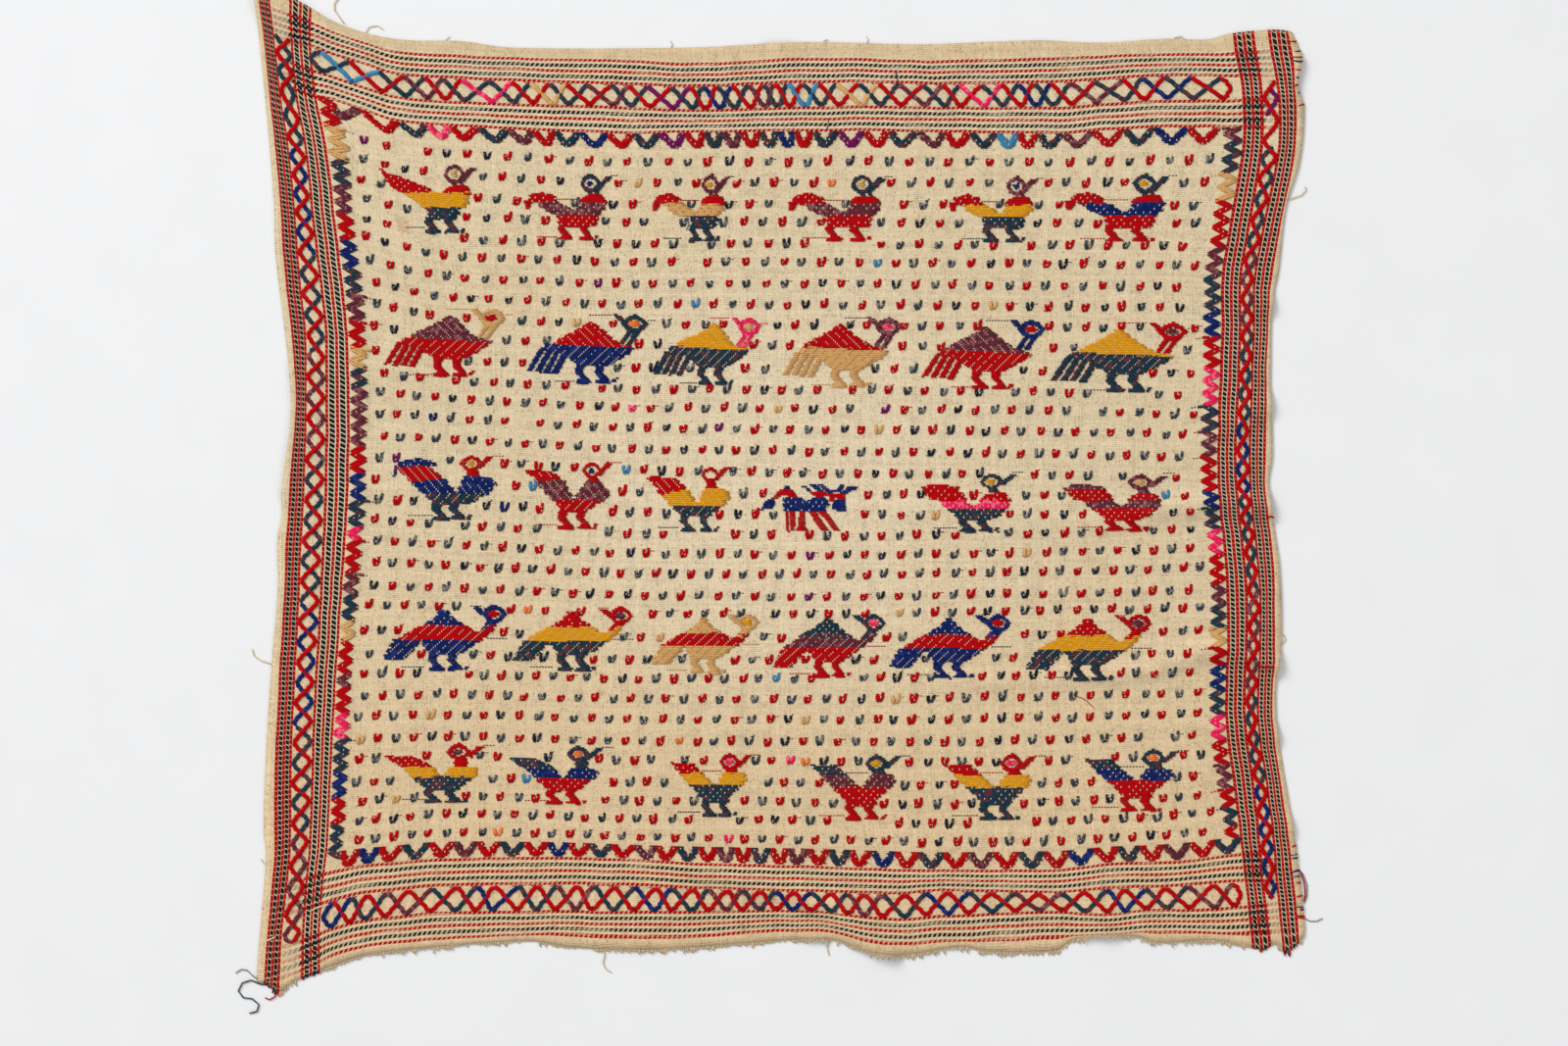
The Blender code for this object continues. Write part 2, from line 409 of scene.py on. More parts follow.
class YarnPiece:
    """Gathers lengths of yarn and makes one piece of them."""

    def __init__(self, name):
        self.name = name
        self.colours = []
        self.tubes = []

    def add(self, points, width, height, colour, sides=5, on_cloth=True, end_size=0.5):
        """Adds a length of yarn.

        A point is a weave place and the height of the yarn's middle over the cloth's face, or, off the
        cloth, a plain place in mm.
        """
        if colour not in self.colours:
            self.colours.append(colour)
        slot = self.colours.index(colour)
        self.tubes.append(Tube(np.asarray(points, float), width, height, slot, sides, on_cloth, end_size))

    def build(self):
        verts, walls, caps = [], [], []
        count = 0
        for key in sorted({(tube.sides, tube.on_cloth) for tube in self.tubes}):
            tubes = [tube for tube in self.tubes if (tube.sides, tube.on_cloth) == key]
            rings, tube_walls, tube_caps = tube_faces(tubes, *key)
            verts.append(rings)
            walls.append(tube_walls._replace(rows=tube_walls.rows + count))
            caps.append(tube_caps._replace(rows=tube_caps.rows + count))
            count += len(rings)
        mesh = make_mesh(self.name, np.concatenate(verts), walls + caps)
        add_piece(self.name, mesh, [yarn_material(colour) for colour in self.colours])


def unit(vectors):
    return vectors / np.maximum(np.linalg.norm(vectors, axis=1, keepdims=True), 1e-9)


def tube_faces(tubes, sides, on_cloth):
    """The points, walls and end caps of many lengths of yarn at once."""
    points = np.concatenate([tube.points for tube in tubes])
    counts = [len(tube.points) for tube in tubes]
    owner = np.repeat(np.arange(len(tubes)), counts)
    first = np.concatenate(([0], np.cumsum(counts)[:-1]))
    index = np.arange(len(points))
    starts = index == first[owner]
    ends = np.roll(starts, -1)

    def each(field):
        return np.array([getattr(tube, field) for tube in tubes])[owner]

    middle = points
    if on_cloth:
        x, y = plan_place(points[:, 0], points[:, 1])
        middle = np.column_stack((x, y, face_height(x, y) + points[:, 2]))
    along = unit(middle[index + ~ends] - middle[index - ~starts])
    side = unit(np.cross(along, (0.0, 0.0, 1.0)))
    up = np.cross(side, along)
    taper = np.where(starts | ends, each("end_size"), 1.0)
    width = each("width") * taper / 2
    height = each("height") * taper / 2
    turn = np.arange(sides) / sides
    angle = 2 * math.pi * turn + math.pi / 2
    rings = (
        middle[:, None, :]
        + side[:, None, :] * (width[:, None] * np.cos(angle))[:, :, None]
        + up[:, None, :] * (height[:, None] * np.sin(angle))[:, :, None]
    )
    step = np.where(starts, 0, np.linalg.norm(middle - middle[index - ~starts], axis=1))
    length = np.cumsum(step)
    # each length of yarn has its own stretch of the texture
    length = length - length[first[owner]] + 3.7 * owner

    corners = index[:, None] * sides + np.arange(sides)
    near = corners[~ends]
    far = near + sides
    walls = np.stack((near, far, np.roll(far, -1, axis=1), np.roll(near, -1, axis=1)), axis=2)
    near_length = length[~ends].repeat(sides)
    far_length = length[index[~ends] + 1].repeat(sides)
    low = np.tile(turn, len(near))
    high = low + 1 / sides
    wall_uvs = np.stack((low, near_length, low, far_length, high, far_length, high, near_length), axis=1)
    caps = np.concatenate((corners[starts], corners[ends, ::-1]))
    cap_lengths = np.concatenate((length[starts], length[ends])).repeat(sides)
    cap_uvs = np.column_stack((np.full(len(cap_lengths), 0.5), cap_lengths))
    slots = each("colour")
    cap_slots = np.concatenate((slots[starts], slots[ends]))
    walls = Faces(walls.reshape(-1, 4), wall_uvs, slots[~ends].repeat(sides))
    return rings.reshape(-1, 3), walls, Faces(caps, cap_uvs, cap_slots)


# Materials


def linear(colour, gain=1.0):
    """A colour of 0 to 255 as the shader takes it."""
    channels = [c / 255 for c in colour]
    channels = [c / 12.92 if c <= 0.04045 else ((c + 0.055) / 1.055) ** 2.4 for c in channels]
    return tuple(min(c * gain, 1.0) for c in channels) + (1.0,)


class Value:
    """Something that a material's nodes work out, so that a shader reads as plain sums."""

    def __init__(self, graph, socket):
        self.graph = graph
        self.socket = socket

    def math(self, operation, *others):
        return self.graph.math(operation, self, *others)

    def step(self, low, high):
        """From 0 at low to 1 at high, smoothly. High may be the lesser."""
        inputs = {"Value": self, "From Min": low, "From Max": high}
        return self.graph.node("ShaderNodeMapRange", inputs, interpolation_type="SMOOTHSTEP")

    def __add__(self, other):
        return self.math("ADD", other)

    def __sub__(self, other):
        return self.math("SUBTRACT", other)

    def __rsub__(self, other):
        return self.graph.math("SUBTRACT", other, self)

    def __mul__(self, other):
        return self.math("MULTIPLY", other)

    def __truediv__(self, other):
        return self.math("DIVIDE", other)

    __radd__ = __add__


class Graph:
    """A material and the nodes that it is made with."""

    def __init__(self, name, roughness, sheen):
        self.material = bpy.data.materials.new(name)
        self.material.use_nodes = True
        self.tree = self.material.node_tree
        self.shader = self.tree.nodes["Principled BSDF"]
        self.shader.inputs["Roughness"].default_value = roughness
        self.shader.inputs["Sheen Weight"].default_value = sheen
        self.shader.inputs["Sheen Roughness"].default_value = 0.5
        self.shader.inputs["Specular IOR Level"].default_value = 0.08

    def put(self, socket, value):
        if isinstance(value, Value):
            self.tree.links.new(value.socket, socket)
        else:
            socket.default_value = value

    def node(self, kind, inputs, output=0, **settings):
        """The output of a new node, whose inputs are given by number or name."""
        node = self.tree.nodes.new(kind)
        for name, setting in settings.items():
            setattr(node, name, setting)
        for key, value in inputs.items():
            self.put(node.inputs[key], value)
        return Value(self, node.outputs[output])

    def math(self, operation, *values):
        return self.node("ShaderNodeMath", dict(enumerate(values)), operation=operation)

    def mix(self, share, a, b, kind="MIX"):
        inputs = {0: share, 6: a, 7: b}
        return self.node("ShaderNodeMix", inputs, output=2, data_type="RGBA", blend_type=kind)

    def weave_uv(self):
        place = self.node("ShaderNodeUVMap", {}, uv_map="weave")
        u = self.node("ShaderNodeSeparateXYZ", {0: place}, "X")
        v = self.node("ShaderNodeSeparateXYZ", {0: place}, "Y")
        return place, u, v

    def place(self):
        """The plain place of each point of the surface."""
        return self.node("ShaderNodeTexCoord", {}, "Object")

    def noise(self, place, scale, detail=2.0):
        return self.node("ShaderNodeTexNoise", {"Vector": place, "Scale": scale, "Detail": detail})

    def stretched_noise(self, x, y, z=0.0):
        return self.noise(self.node("ShaderNodeCombineXYZ", {0: x, 1: y, 2: z}), 1.0)

    def random(self, value):
        """A number from 0 to 1 that is the same wherever the value is the same."""
        return self.node("ShaderNodeTexWhiteNoise", {"W": value}, noise_dimensions="1D")

    def bump(self, height, distance, strength):
        inputs = {"Height": height, "Distance": distance * MM, "Strength": strength}
        self.put(self.shader.inputs["Normal"], self.node("ShaderNodeBump", inputs))

    def colour(self, value):
        self.put(self.shader.inputs["Base Color"], value)


def yarn_material(colour):
    """Soft plied yarn: the plies slant round it, and its colour is uneven and a little worn on top."""
    name = "yarn_" + colour
    if name in bpy.data.materials:
        return bpy.data.materials[name]
    graph = Graph(name, roughness=0.9, sheen=0.02)
    base = YARN_COLOURS[colour]
    _, around, length = graph.weave_uv()
    place = graph.place()
    ply = ((length * 0.8 + around * 2.0) * math.pi).math("SINE").math("ABSOLUTE")
    fibre = graph.noise(graph.node("ShaderNodeCombineXYZ", {0: around * 5.0, 1: length * 1.4}), 2.0)
    worn = graph.noise(place, 170.0, 3.0)
    tone = graph.stretched_noise(length * 0.35, 0.0)
    # painted shade: the valleys between the plies are darker; fibre and tone are the yarn's own unevenness
    painted_shade_and_grain = ply * 0.3 + fibre * 0.6 + (tone - 0.45) * 0.9
    body = graph.mix(painted_shade_and_grain, linear(base, 0.5), linear(base, 1.25))
    if colour in FLECKS:
        flecked = graph.noise(place, 520.0, 1.0).step(0.53, 0.62)
        body = graph.mix(flecked * 0.85, body, linear(FLECKS[colour]))
    pale = tuple(0.74 * c + 0.26 * g for c, g in zip(base, GROUND))
    graph.colour(graph.mix(worn.step(0.58, 0.85) * 0.3, body, linear(pale)))
    graph.bump(ply + fibre * 0.5, 0.12, 0.6)
    return graph.material


# A group of five stripes: its first and last line, half the width of a red and of a dark stripe, how far
# their dashes slant, and how much of the pitch a red and a dark dash fill
Stripes = namedtuple("Stripes", "first last red_half dark_half slant red_share dark_share")


def stripe_masks(across, along, groups, pitch, between):
    """Masks of the red and of the dark stripes in some groups. Between the dashes a stripe is fainter."""
    reds = 0.0
    darks = 0.0
    for group in groups:
        spacing = (group.last - group.first) / 4
        place = (across - group.first) / spacing
        number = place.math("ROUND")
        off = (place - number) * abs(spacing)
        inside = number.math("COMPARE", 2.0, 2.4)
        dark = number.math("MODULO", 2.0).math("ABSOLUTE")
        reach = group.red_half + dark * (group.dark_half - group.red_half)
        share = group.red_share + dark * (group.dark_share - group.red_share)
        line = inside * (off.math("ABSOLUTE") - reach).step(0.08, -0.08)
        phase = ((along + off * group.slant) / pitch).math("FRACT")
        dash = ((phase - 0.5).math("ABSOLUTE") - share * 0.5).step(0.05, -0.05)
        mask = line * dash.math("MAXIMUM", between)
        reds = reds + mask * (1.0 - dark)
        darks = darks + mask * dark
    return reds, darks


def woven_stripes(graph, u, v):
    """Masks of the red and of the dark stripes in both directions."""
    wave_v = graph.stretched_noise(u * 0.07, v * 0.02)
    wave_u = graph.stretched_noise(u * 0.02, v * 0.07, 7.0)
    weft_reds, weft_darks = stripe_masks(v + (wave_v - 0.5), u, [
        Stripes(V["top_1"], V["top_5"], 0.66, 0.78, 0.75, 0.72, 0.66),
        Stripes(V["top_6"], V["top_10"], 0.66, 0.78, 0.75, 0.72, 0.66),
        Stripes(V["bottom_1"], V["bottom_5"], 0.7, 0.8, 0.5, 0.72, 0.64),
        Stripes(V["bottom_6"], V["bottom_10"], 0.7, 0.8, 0.5, 0.72, 0.64),
    ], pitch=2.02, between=0.3)
    warp_reds, warp_darks = stripe_masks(u + (wave_u - 0.5) * 0.8, v, [
        Stripes(U["left_outer_a"], U["left_outer_b"], 0.56, 0.72, 0.5, 0.94, 0.8),
        Stripes(U["left_inner_a"] + 0.2, U["left_inner_b"] - 0.2, 0.6, 1.08, 0.5, 0.94, 0.76),
        Stripes(U["right_inner_b"] - 0.2, U["right_inner_a"] + 0.2, 0.72, 0.84, 0.5, 0.96, 0.76),
        Stripes(U["right_outer_b"] - 0.1, U["right_outer_a"] + 0.1, 0.6, 0.72, 0.5, 0.96, 0.8),
    ], pitch=2.0, between=0.22)
    # those across the cloth have bolder and fainter stretches, and are faint beyond the inner stripes up it
    bold = graph.stretched_noise(u * 0.06, v * 0.9).step(0.3, 0.5)
    left, right = U["left_inner_a"], U["right_inner_a"]
    inner = u.step(left - 3, left) * u.step(right + 3, right)
    off_middle = (u + 2.0).math("ABSOLUTE")
    share = (inner * 0.5 + 0.5) * (bold * 0.42 + 0.6) * off_middle.step(214.0, 208.0)
    reds = (weft_reds * share).math("MAXIMUM", warp_reds)
    darks = (weft_darks * share).math("MAXIMUM", warp_darks)
    return reds, darks


# What a plain weave gives a shader: its relief, the tones of its threads and crossings, and the gaps in it
Weave = namedtuple("Weave", "height thread crossing corner")


def plain_weave(graph, place, u, v):
    """Threads over and under, at pitches that drift a little."""
    drift = graph.noise(place, 0.05, 1.0)
    warp = u / WARP_PITCH + drift * 5.0
    weft = v / WEFT_PITCH + drift * 4.0
    warp_number = warp.math("FLOOR")
    weft_number = weft.math("FLOOR")
    warp_hump = (warp.math("FRACT") * math.pi).math("SINE")
    weft_hump = (weft.math("FRACT") * math.pi).math("SINE")
    warp_top = warp_hump * (weft_hump * 0.5 + 0.5)
    weft_top = weft_hump * (warp_hump * 0.5 + 0.5)
    parity = (warp_number + weft_number).math("MODULO", 2.0).math("ABSOLUTE")
    height = parity * warp_top + (1.0 - parity) * weft_top
    thread = graph.random(warp_number) * 0.5 + graph.random(weft_number + 0.5) * 0.5
    crossing = graph.random(warp_number * 0.731 + weft_number * 1.357)
    corner = 1.0 - warp_hump.math("MAXIMUM", weft_hump)
    return Weave(height, thread, crossing, corner)


def round_mark(graph, place, pixel_x, pixel_y, radius):
    u, v = (float(value[0]) for value in weave_place(pixel_x, pixel_y))
    distance = graph.node("ShaderNodeVectorMath", {0: place, 1: (u, v, 0.0)}, "Value", operation="DISTANCE")
    return distance.step(radius, 0.3 * radius)


def stains(graph, place):
    """Faint round marks on the cloth."""
    marks = 0.0
    for pixel_x, pixel_y, radius in ((412, 230, 5.0), (1240, 645, 4.0), (905, 505, 3.5)):
        marks = marks + round_mark(graph, place, pixel_x, pixel_y, radius)
    return marks


def ground_colour(graph, place, u, v, weave, grain):
    """Natural cotton, uneven from thread to thread, warmer in places, with stains and painted shade in gaps.
    """
    slub = graph.stretched_noise(u * 0.05, v * 0.7)
    streak = graph.stretched_noise(u * 0.8, v * 0.04)
    # painted shade: the weave's relief darkens the cotton down between its threads; the other terms are its
    # own uneven tone and grain
    painted_shade_and_grain = weave.height * 0.34 + weave.thread * 0.3 + grain * 0.35 + (slub + streak) * 0.28
    painted_shade_and_grain = painted_shade_and_grain + weave.crossing * 0.3
    light = graph.mix(painted_shade_and_grain - 0.4, (0.64, 0.63, 0.61, 1.0), (1.22, 1.22, 1.22, 1.0))
    top_strip = v.step(V["top_1"] + 0.5, V["top_1"] + 3)
    bottom_strip = v.step(V["bottom_10"], V["bottom_10"] - 3)
    tone = linear(GROUND)
    for share, colour in (
        (graph.noise(place, 0.02).step(0.45, 0.75) * 0.3, (222, 196, 156)),
        (v.step(20.0, -170.0) * 0.5, (222, 190, 146)),
        (top_strip.math("MAXIMUM", bottom_strip) * 0.55, (208, 180, 140)),
        (round_mark(graph, place, 800, 490, 130) * 0.32, (236, 220, 192)),
        (stains(graph, place) * 0.4, (196, 150, 96)),
    ):
        tone = graph.mix(share, tone, linear(colour))
    ground = graph.mix(1.0, tone, light, "MULTIPLY")
    # a few crossings are dark, and the gaps where the weave is loose are painted dark as shade
    ground = graph.mix(weave.crossing.step(0.93, 0.98) * 0.5, ground, linear((140, 114, 76)))
    loose = graph.noise(place, 0.16, 3.0)
    # painted shade: dark brown in the gaps between threads, as if they were deep
    painted_gap_shade = weave.corner.step(0.3, 0.6) * loose.step(0.5, 0.66)
    return graph.mix(painted_gap_shade * 0.75, ground, linear((92, 72, 46)))


def cloth_material():
    """Plain-weave cotton with the woven stripes."""
    graph = Graph("woven_cotton", roughness=0.95, sheen=0.04)
    place, u, v = graph.weave_uv()
    weave = plain_weave(graph, place, u, v)
    grain = graph.noise(place, 1.6, 3.0)
    reds, darks = woven_stripes(graph, u, v)
    # painted shade from the weave's relief, with grain, runs over the red and dark stripes
    painted_shade_and_grain = grain * 0.8 + weave.height * 0.3
    red = graph.mix(painted_shade_and_grain, linear(STRIPE_RED, 0.6), linear(STRIPE_RED, 1.2))
    dark = graph.mix(painted_shade_and_grain, linear(STRIPE_NAVY, 0.5), linear(STRIPE_NAVY, 1.5))
    ground = ground_colour(graph, place, u, v, weave, grain)
    graph.colour(graph.mix(darks, graph.mix(reds, ground, red), dark))
    graph.bump(weave.height, 0.16, 0.7)
    return graph.material


def floor_material():
    graph = Graph("pale_floor", roughness=0.8, sheen=0.0)
    cloud = graph.noise(graph.place(), 30.0)
    graph.colour(graph.mix(cloud, linear((226, 227, 229)), linear((230, 231, 233))))
    return graph.material


# The cloth


def make_cloth():
    """Two layers of the same grid, a thread's thickness apart, closed round the rim."""
    u = np.linspace(U["left_edge"], U["right_edge"], CELLS_ACROSS + 1)
    v = np.linspace(V["bottom_edge"], V["top_edge"], CELLS_ALONG + 1)
    grid_u, grid_v = (side.ravel() for side in np.meshgrid(u, v))
    x, y = plan_place(grid_u, grid_v)
    top = face_height(x, y)
    verts = np.concatenate((np.column_stack((x, y, top)), np.column_stack((x, y, top - CLOTH_THICKNESS))))
    places = np.tile(np.column_stack((grid_u, grid_v)), (2, 1))
    count = len(x)
    grid = np.arange(count).reshape(CELLS_ALONG + 1, CELLS_ACROSS + 1)
    face = np.stack((grid[:-1, :-1], grid[:-1, 1:], grid[1:, 1:], grid[1:, :-1]), axis=2).reshape(-1, 4)
    rim = np.concatenate((grid[0, :-1], grid[:-1, -1], grid[-1, :0:-1], grid[:0:-1, 0]))
    after = np.roll(rim, -1)
    wall = np.stack((rim, rim + count, after + count, after), axis=1)
    quads = np.concatenate((face, face[:, ::-1] + count, wall))
    mesh = make_mesh("woven_cloth", verts, [Faces(quads, places[quads.ravel()], np.zeros(len(quads)))])
    cloth = add_piece("woven_cloth", mesh, [cloth_material()])
    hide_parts("cloth_panel")


# Braids, teeth, lattices and waves

# Where the yarns of the braids and the teeth change: pixel y, and the yarn from there down
LEFT_BRAID = coloured_places("""
    42 teal, 150 blue, 258 teal, 358 purple, 470 teal, 615 blue, 740 teal, 850 purple, 958 none
""")
RIGHT_BRAID = coloured_places("""
    90 magenta, 118 none, 150 teal, 255 purple, 345 teal, 430 blue, 505 teal, 600 purple, 710 teal,
    800 blue, 918 none
""")
LEFT_TEETH = coloured_places("""
    107 red, 130 tan, 163 teal, 190 purple, 217 red, 246 blue, 275 teal, 303 purple, 328 red, 352 tan,
    374 teal, 395 purple, 455 red, 480 blue, 507 teal, 535 pink, 548 red, 587 purple, 608 teal, 636 tan,
    655 red, 685 purple, 700 red, 729 pink, 756 teal, 787 blue, 811 red, 839 teal, 873 none
""")
RIGHT_TEETH = coloured_places("""
    130 purple, 145 teal, 177 tan, 205 red, 250 purple, 281 teal, 316 blue, 343 red, 376 pink, 414 teal,
    440 purple, 465 red, 502 blue, 520 teal, 542 pink, 565 red, 598 purple, 615 teal, 642 tan, 659 red,
    679 blue, 702 teal, 728 pink, 754 red, 781 purple, 804 red, 826 teal, 841 red, 855 none
""")
# The low points of the lattices and waves: pixel x, and the yarn that turns there
TOP_LATTICE = coloured_places("""
    330.8 teal, 359 sky, 388 red, 412 teal, 434.2 purple, 452.6 red, 470.9 teal, 499.3 pink, 521.5 teal,
    541 red, 560.5 tan, 577.4 teal, 598.8 red, 622.5 purple, 640.9 teal, 660 red, 683.4 magenta, 703 teal,
    716.5 red, 731.3 blue, 746 teal, 763 red, 777.8 purple, 790 teal, 803 red, 818.6 sky, 835 teal,
    853.8 red, 876 tan, 895.9 teal, 916.8 red, 941 purple, 961 teal, 978.5 red, 1001 pink, 1020.8 teal,
    1039 red, 1054.6 blue, 1072.2 teal, 1092 red, 1116.5 purple, 1145.5 teal, 1166.7 red, 1189 blue,
    1216.8 teal, 1245.8 red
""")
BOTTOM_LATTICE = coloured_places("""
    340 blue, 358 red, 374 teal, 394 red, 415.6 purple, 440 red, 464 teal, 485.5 red, 503 blue, 527.6 red,
    547 teal, 567 red, 587.5 purple, 604.5 red, 626.3 teal, 646.9 red, 667.9 blue, 685.2 red, 705.7 teal,
    723 red, 741 purple, 757.5 red, 775 teal, 791.5 red, 809 blue, 827.6 red, 848 teal, 865 red, 882 purple,
    900.6 red, 923 teal, 945 red, 967 blue, 989 red, 1012 teal, 1036 red, 1060 purple, 1083 red,
    1106.5 teal, 1129.8 red, 1148 blue, 1169.6 red, 1191 teal, 1213 red, 1240 purple, 1259.4 red
""")
TOP_WAVE = coloured_places("""
    353.7 purple, 393 red, 423.7 teal, 448 pink, 470.9 red, 503.1 teal, 532.2 purple, 554.4 red, 575.8 teal,
    604.2 blue, 631.7 red, 657 teal, 686 magenta, 709 red, 727 teal, 746.4 purple, 765 red, 784 teal,
    802 blue, 818.6 red, 840 teal, 867.6 magenta, 894 red, 919 teal, 952.5 purple, 975.5 red, 1003.5 teal,
    1029 sky, 1048.3 red, 1070 teal, 1099 purple, 1131.4 red, 1161.3 teal, 1195.4 blue, 1228.4 red
""")
BOTTOM_WAVE = coloured_places("""
    357 red, 376 blue, 397 red, 424 teal, 450 red, 474.6 purple, 497.6 red, 522.5 teal, 546.7 red,
    569.7 blue, 590 red, 612.4 teal, 635.4 red, 659.8 purple, 679.4 red, 702.4 teal, 722 red, 741 purple,
    758 red, 775.8 teal, 795.7 red, 813 purple, 835 red, 856 teal, 876.6 red, 901.5 blue, 924.7 red,
    950 teal, 975 red, 1001 purple, 1027 red, 1052 teal, 1078 red, 1102.8 blue, 1129.8 red, 1152 teal,
    1175.4 red, 1201 purple, 1228 red, 1253.4 teal
""")


def runs(places):
    """The stretches of a list of coloured places: where each starts and ends, and its yarn."""
    for (start, colour), (end, _) in zip(places, places[1:]):
        if colour != "none":
            yield start, end, colour


def densify(points, parts):
    """A bent line with each of its straight stretches cut into parts."""
    steps = np.arange(len(points) - 1).repeat(parts) + np.tile(np.arange(parts) / parts, len(points) - 1)
    steps = np.append(steps, len(points) - 1)
    index = np.arange(len(points))
    return np.column_stack([np.interp(steps, index, points[:, k]) for k in range(points.shape[1])])


def with_lift(points, lift):
    return np.column_stack((points, np.broadcast_to(lift, len(points))))


def tie_down(piece, u, v, lift, size=0.34, colour="cream"):
    """A dot of the ground thread where it passes over the yarn."""
    path = [(u - 0.1, v - size, lift), (u + 0.1, v + size, lift)]
    piece.add(path, TIE_WIDTH, TIE_HEIGHT, colour, sides=4, end_size=0.7)


def add_dot(piece, u, v_left, v_right, lift, width, height, colour):
    """A dot of yarn, as where it shows between two warps."""
    piece.add([(u - 0.4, v_left, lift), (u + 0.4, v_right, lift)], width, height, colour, sides=4)


def make_braid(name, places, u_outer, u_inner, start, end):
    """Two yarns that cross to and fro between the stripes, each over the other in turn."""
    piece = YarnPiece(name)
    middle = (u_outer + u_inner) / 2
    reach = abs(u_inner - u_outer) / 2 - 1.25
    pixel = pixel_over(middle)
    v_start = weave_v(pixel, start)
    v_end = weave_v(pixel, end)

    def strand(v_from, v_to, way):
        v = np.linspace(v_from, v_to, round(10 * (v_from - v_to) / BRAID_HALF_TURN) + 1)
        phase = (v_start - v) / BRAID_HALF_TURN * math.pi
        swing = np.arcsin(0.9 * np.sin(phase + 0.5 * math.pi)) / math.asin(0.9)
        wander = 0.25 * np.sin(v / 2.3 + way) * np.sin(v / 7.1) + 0.2 * (-1.0) ** np.arange(len(v))
        # both meet at the foot
        u = middle + way * reach * swing * np.sqrt(np.clip((v - v_end) / 3.5, 0, 1)) + wander
        lift = 0.22 + 0.2 * way * np.sin(phase / 2 + 0.25 * math.pi) * np.sign(np.cos(phase / 2))
        return np.column_stack((u, v, lift))

    piece.add(strand(v_start, v_end, 1), STRAND_WIDTH, STRAND_HEIGHT, "red", sides=6)
    for first, last, colour in runs(places):
        path = strand(weave_v(pixel, first), weave_v(pixel, last), -1)
        piece.add(path, STRAND_WIDTH, STRAND_HEIGHT, colour, sides=6)
    piece.build()


def make_teeth(name, places, u_outer, u_tips, half_apart):
    """A column of teeth: a thick zigzag of two yarns side by side, with loose ends where colours change."""
    piece = YarnPiece(name)
    rng = np.random.default_rng(len(places))
    pixel = pixel_over(u_tips)
    way = 1 if u_tips > u_outer else -1
    outer = u_outer + way * 1.2
    tip = u_tips - way * 0.7
    start = weave_v(pixel, places[0][0])
    for first, last, colour in runs(places):
        first_turn = math.ceil((start - weave_v(pixel, first)) / TOOTH_HALF_PITCH - 0.5)
        last_turn = math.floor((start - weave_v(pixel, last)) / TOOTH_HALF_PITCH + 0.5)
        turns = np.arange(first_turn, last_turn + 1)
        v = start - turns * TOOTH_HALF_PITCH
        u = np.where(turns % 2 == 0, outer, tip) + rng.uniform(-0.4, 0.4, len(turns))
        for shift in (-half_apart, half_apart):
            path = with_lift(densify(np.column_stack((u, v + shift)), 3), 0.2)
            piece.add(path, TOOTH_WIDTH, STRAND_HEIGHT, colour)
        for place_u, place_v in densify(np.column_stack((u, v)), 3)[1:-1]:
            if rng.random() < 0.25:
                tie_down(piece, place_u, place_v, 0.56, size=0.24)
        if rng.random() < 0.45:
            add_loose_end(piece, rng, tip, v[0], way, colour)
    piece.build()


def add_loose_end(piece, rng, tip, v, way, colour):
    """A yarn's end that runs on past the tip of a tooth, with up to two dots after it."""
    reach = rng.uniform(0.6, 2.4)
    start = (tip - way * 2, v - 0.2, 0.3)
    path = [start, (tip + way * reach * 0.4, v - 0.4, 0.3), (tip + way * reach, v - 0.7, 0.2)]
    piece.add(path, 1.3, 0.7, colour, end_size=0.8)
    for k in range(rng.integers(3)):
        height = v - 0.8 - 0.2 * k
        add_dot(piece, tip + way * (reach + 1.1 + 1.4 * k), height, height, 0.14, 0.95, 0.6, colour)


def turn_places(turns, v_high, v_low):
    """How far across the cloth the turns of a lattice or wave are."""
    pixels = [pixel for pixel, _ in turns]
    return weave_place(pixels, MIDDLE_Y - (v_high + v_low) / 2 / MM_PER_PIXEL)[0]


def make_lattice(name, turns, v_high, v_low):
    """Crossing zigzags: every yarn comes down from its neighbour's low point, turns, and goes back up.

    The first and the last turn back on themselves and close the lattice.
    """
    piece = YarnPiece(name)
    rng = np.random.default_rng(len(turns))
    u = turn_places(turns, v_high, v_low)
    middle = 0.5 * (v_high + v_low)
    for k, (_, colour) in enumerate(turns):
        low = u[k]
        left = [(low, v_high), (low - 2.6, v_high - 1.4), (low - 4.6, middle), (low - 2.4, v_low + 1.2)]
        right = [(low + 1.8, v_low + 1), (low + 3.4, middle), (low + 2, v_high - 1.2), (low - 0.6, v_high)]
        if k > 0:
            before = u[k - 1]
            left = [(before - 0.3, v_high), (before + 1.4, v_high - 0.9), (0.5 * (before + low), middle),
                    (low - 1.5, v_low + 0.9)]
        if k < len(u) - 1:
            after = u[k + 1]
            right = [(low + 1.5, v_low + 0.9), (0.5 * (low + after), middle), (after - 1.4, v_high - 0.9),
                     (after + 0.3, v_high)]
        path = np.array(left + [(low - 0.5, v_low), (low + 0.5, v_low)] + right)
        path[1:-1] += rng.uniform(-0.25, 0.25, (len(path) - 2, 2))
        # it comes down over its neighbour and goes back up under the other
        lift = np.full(len(path), 0.2)
        lift[1] = 0.42
        lift[-2] = 0.12
        path = densify(np.column_stack((path, lift)), 3)
        path[1:-1, :2] += rng.uniform(-0.12, 0.12, (len(path) - 2, 2))
        path[:, 0] += 0.2 * (-1.0) ** np.arange(len(path))
        piece.add(path, STRAND_WIDTH, STRAND_HEIGHT, colour, sides=6)
        if rng.random() < 0.6:
            for dot in range(4):
                add_dot(piece, low - 2.2 + 1.3 * dot, v_high + 0.2, v_high + 0.3, 0.16, 0.75, 0.55, colour)
    piece.build()


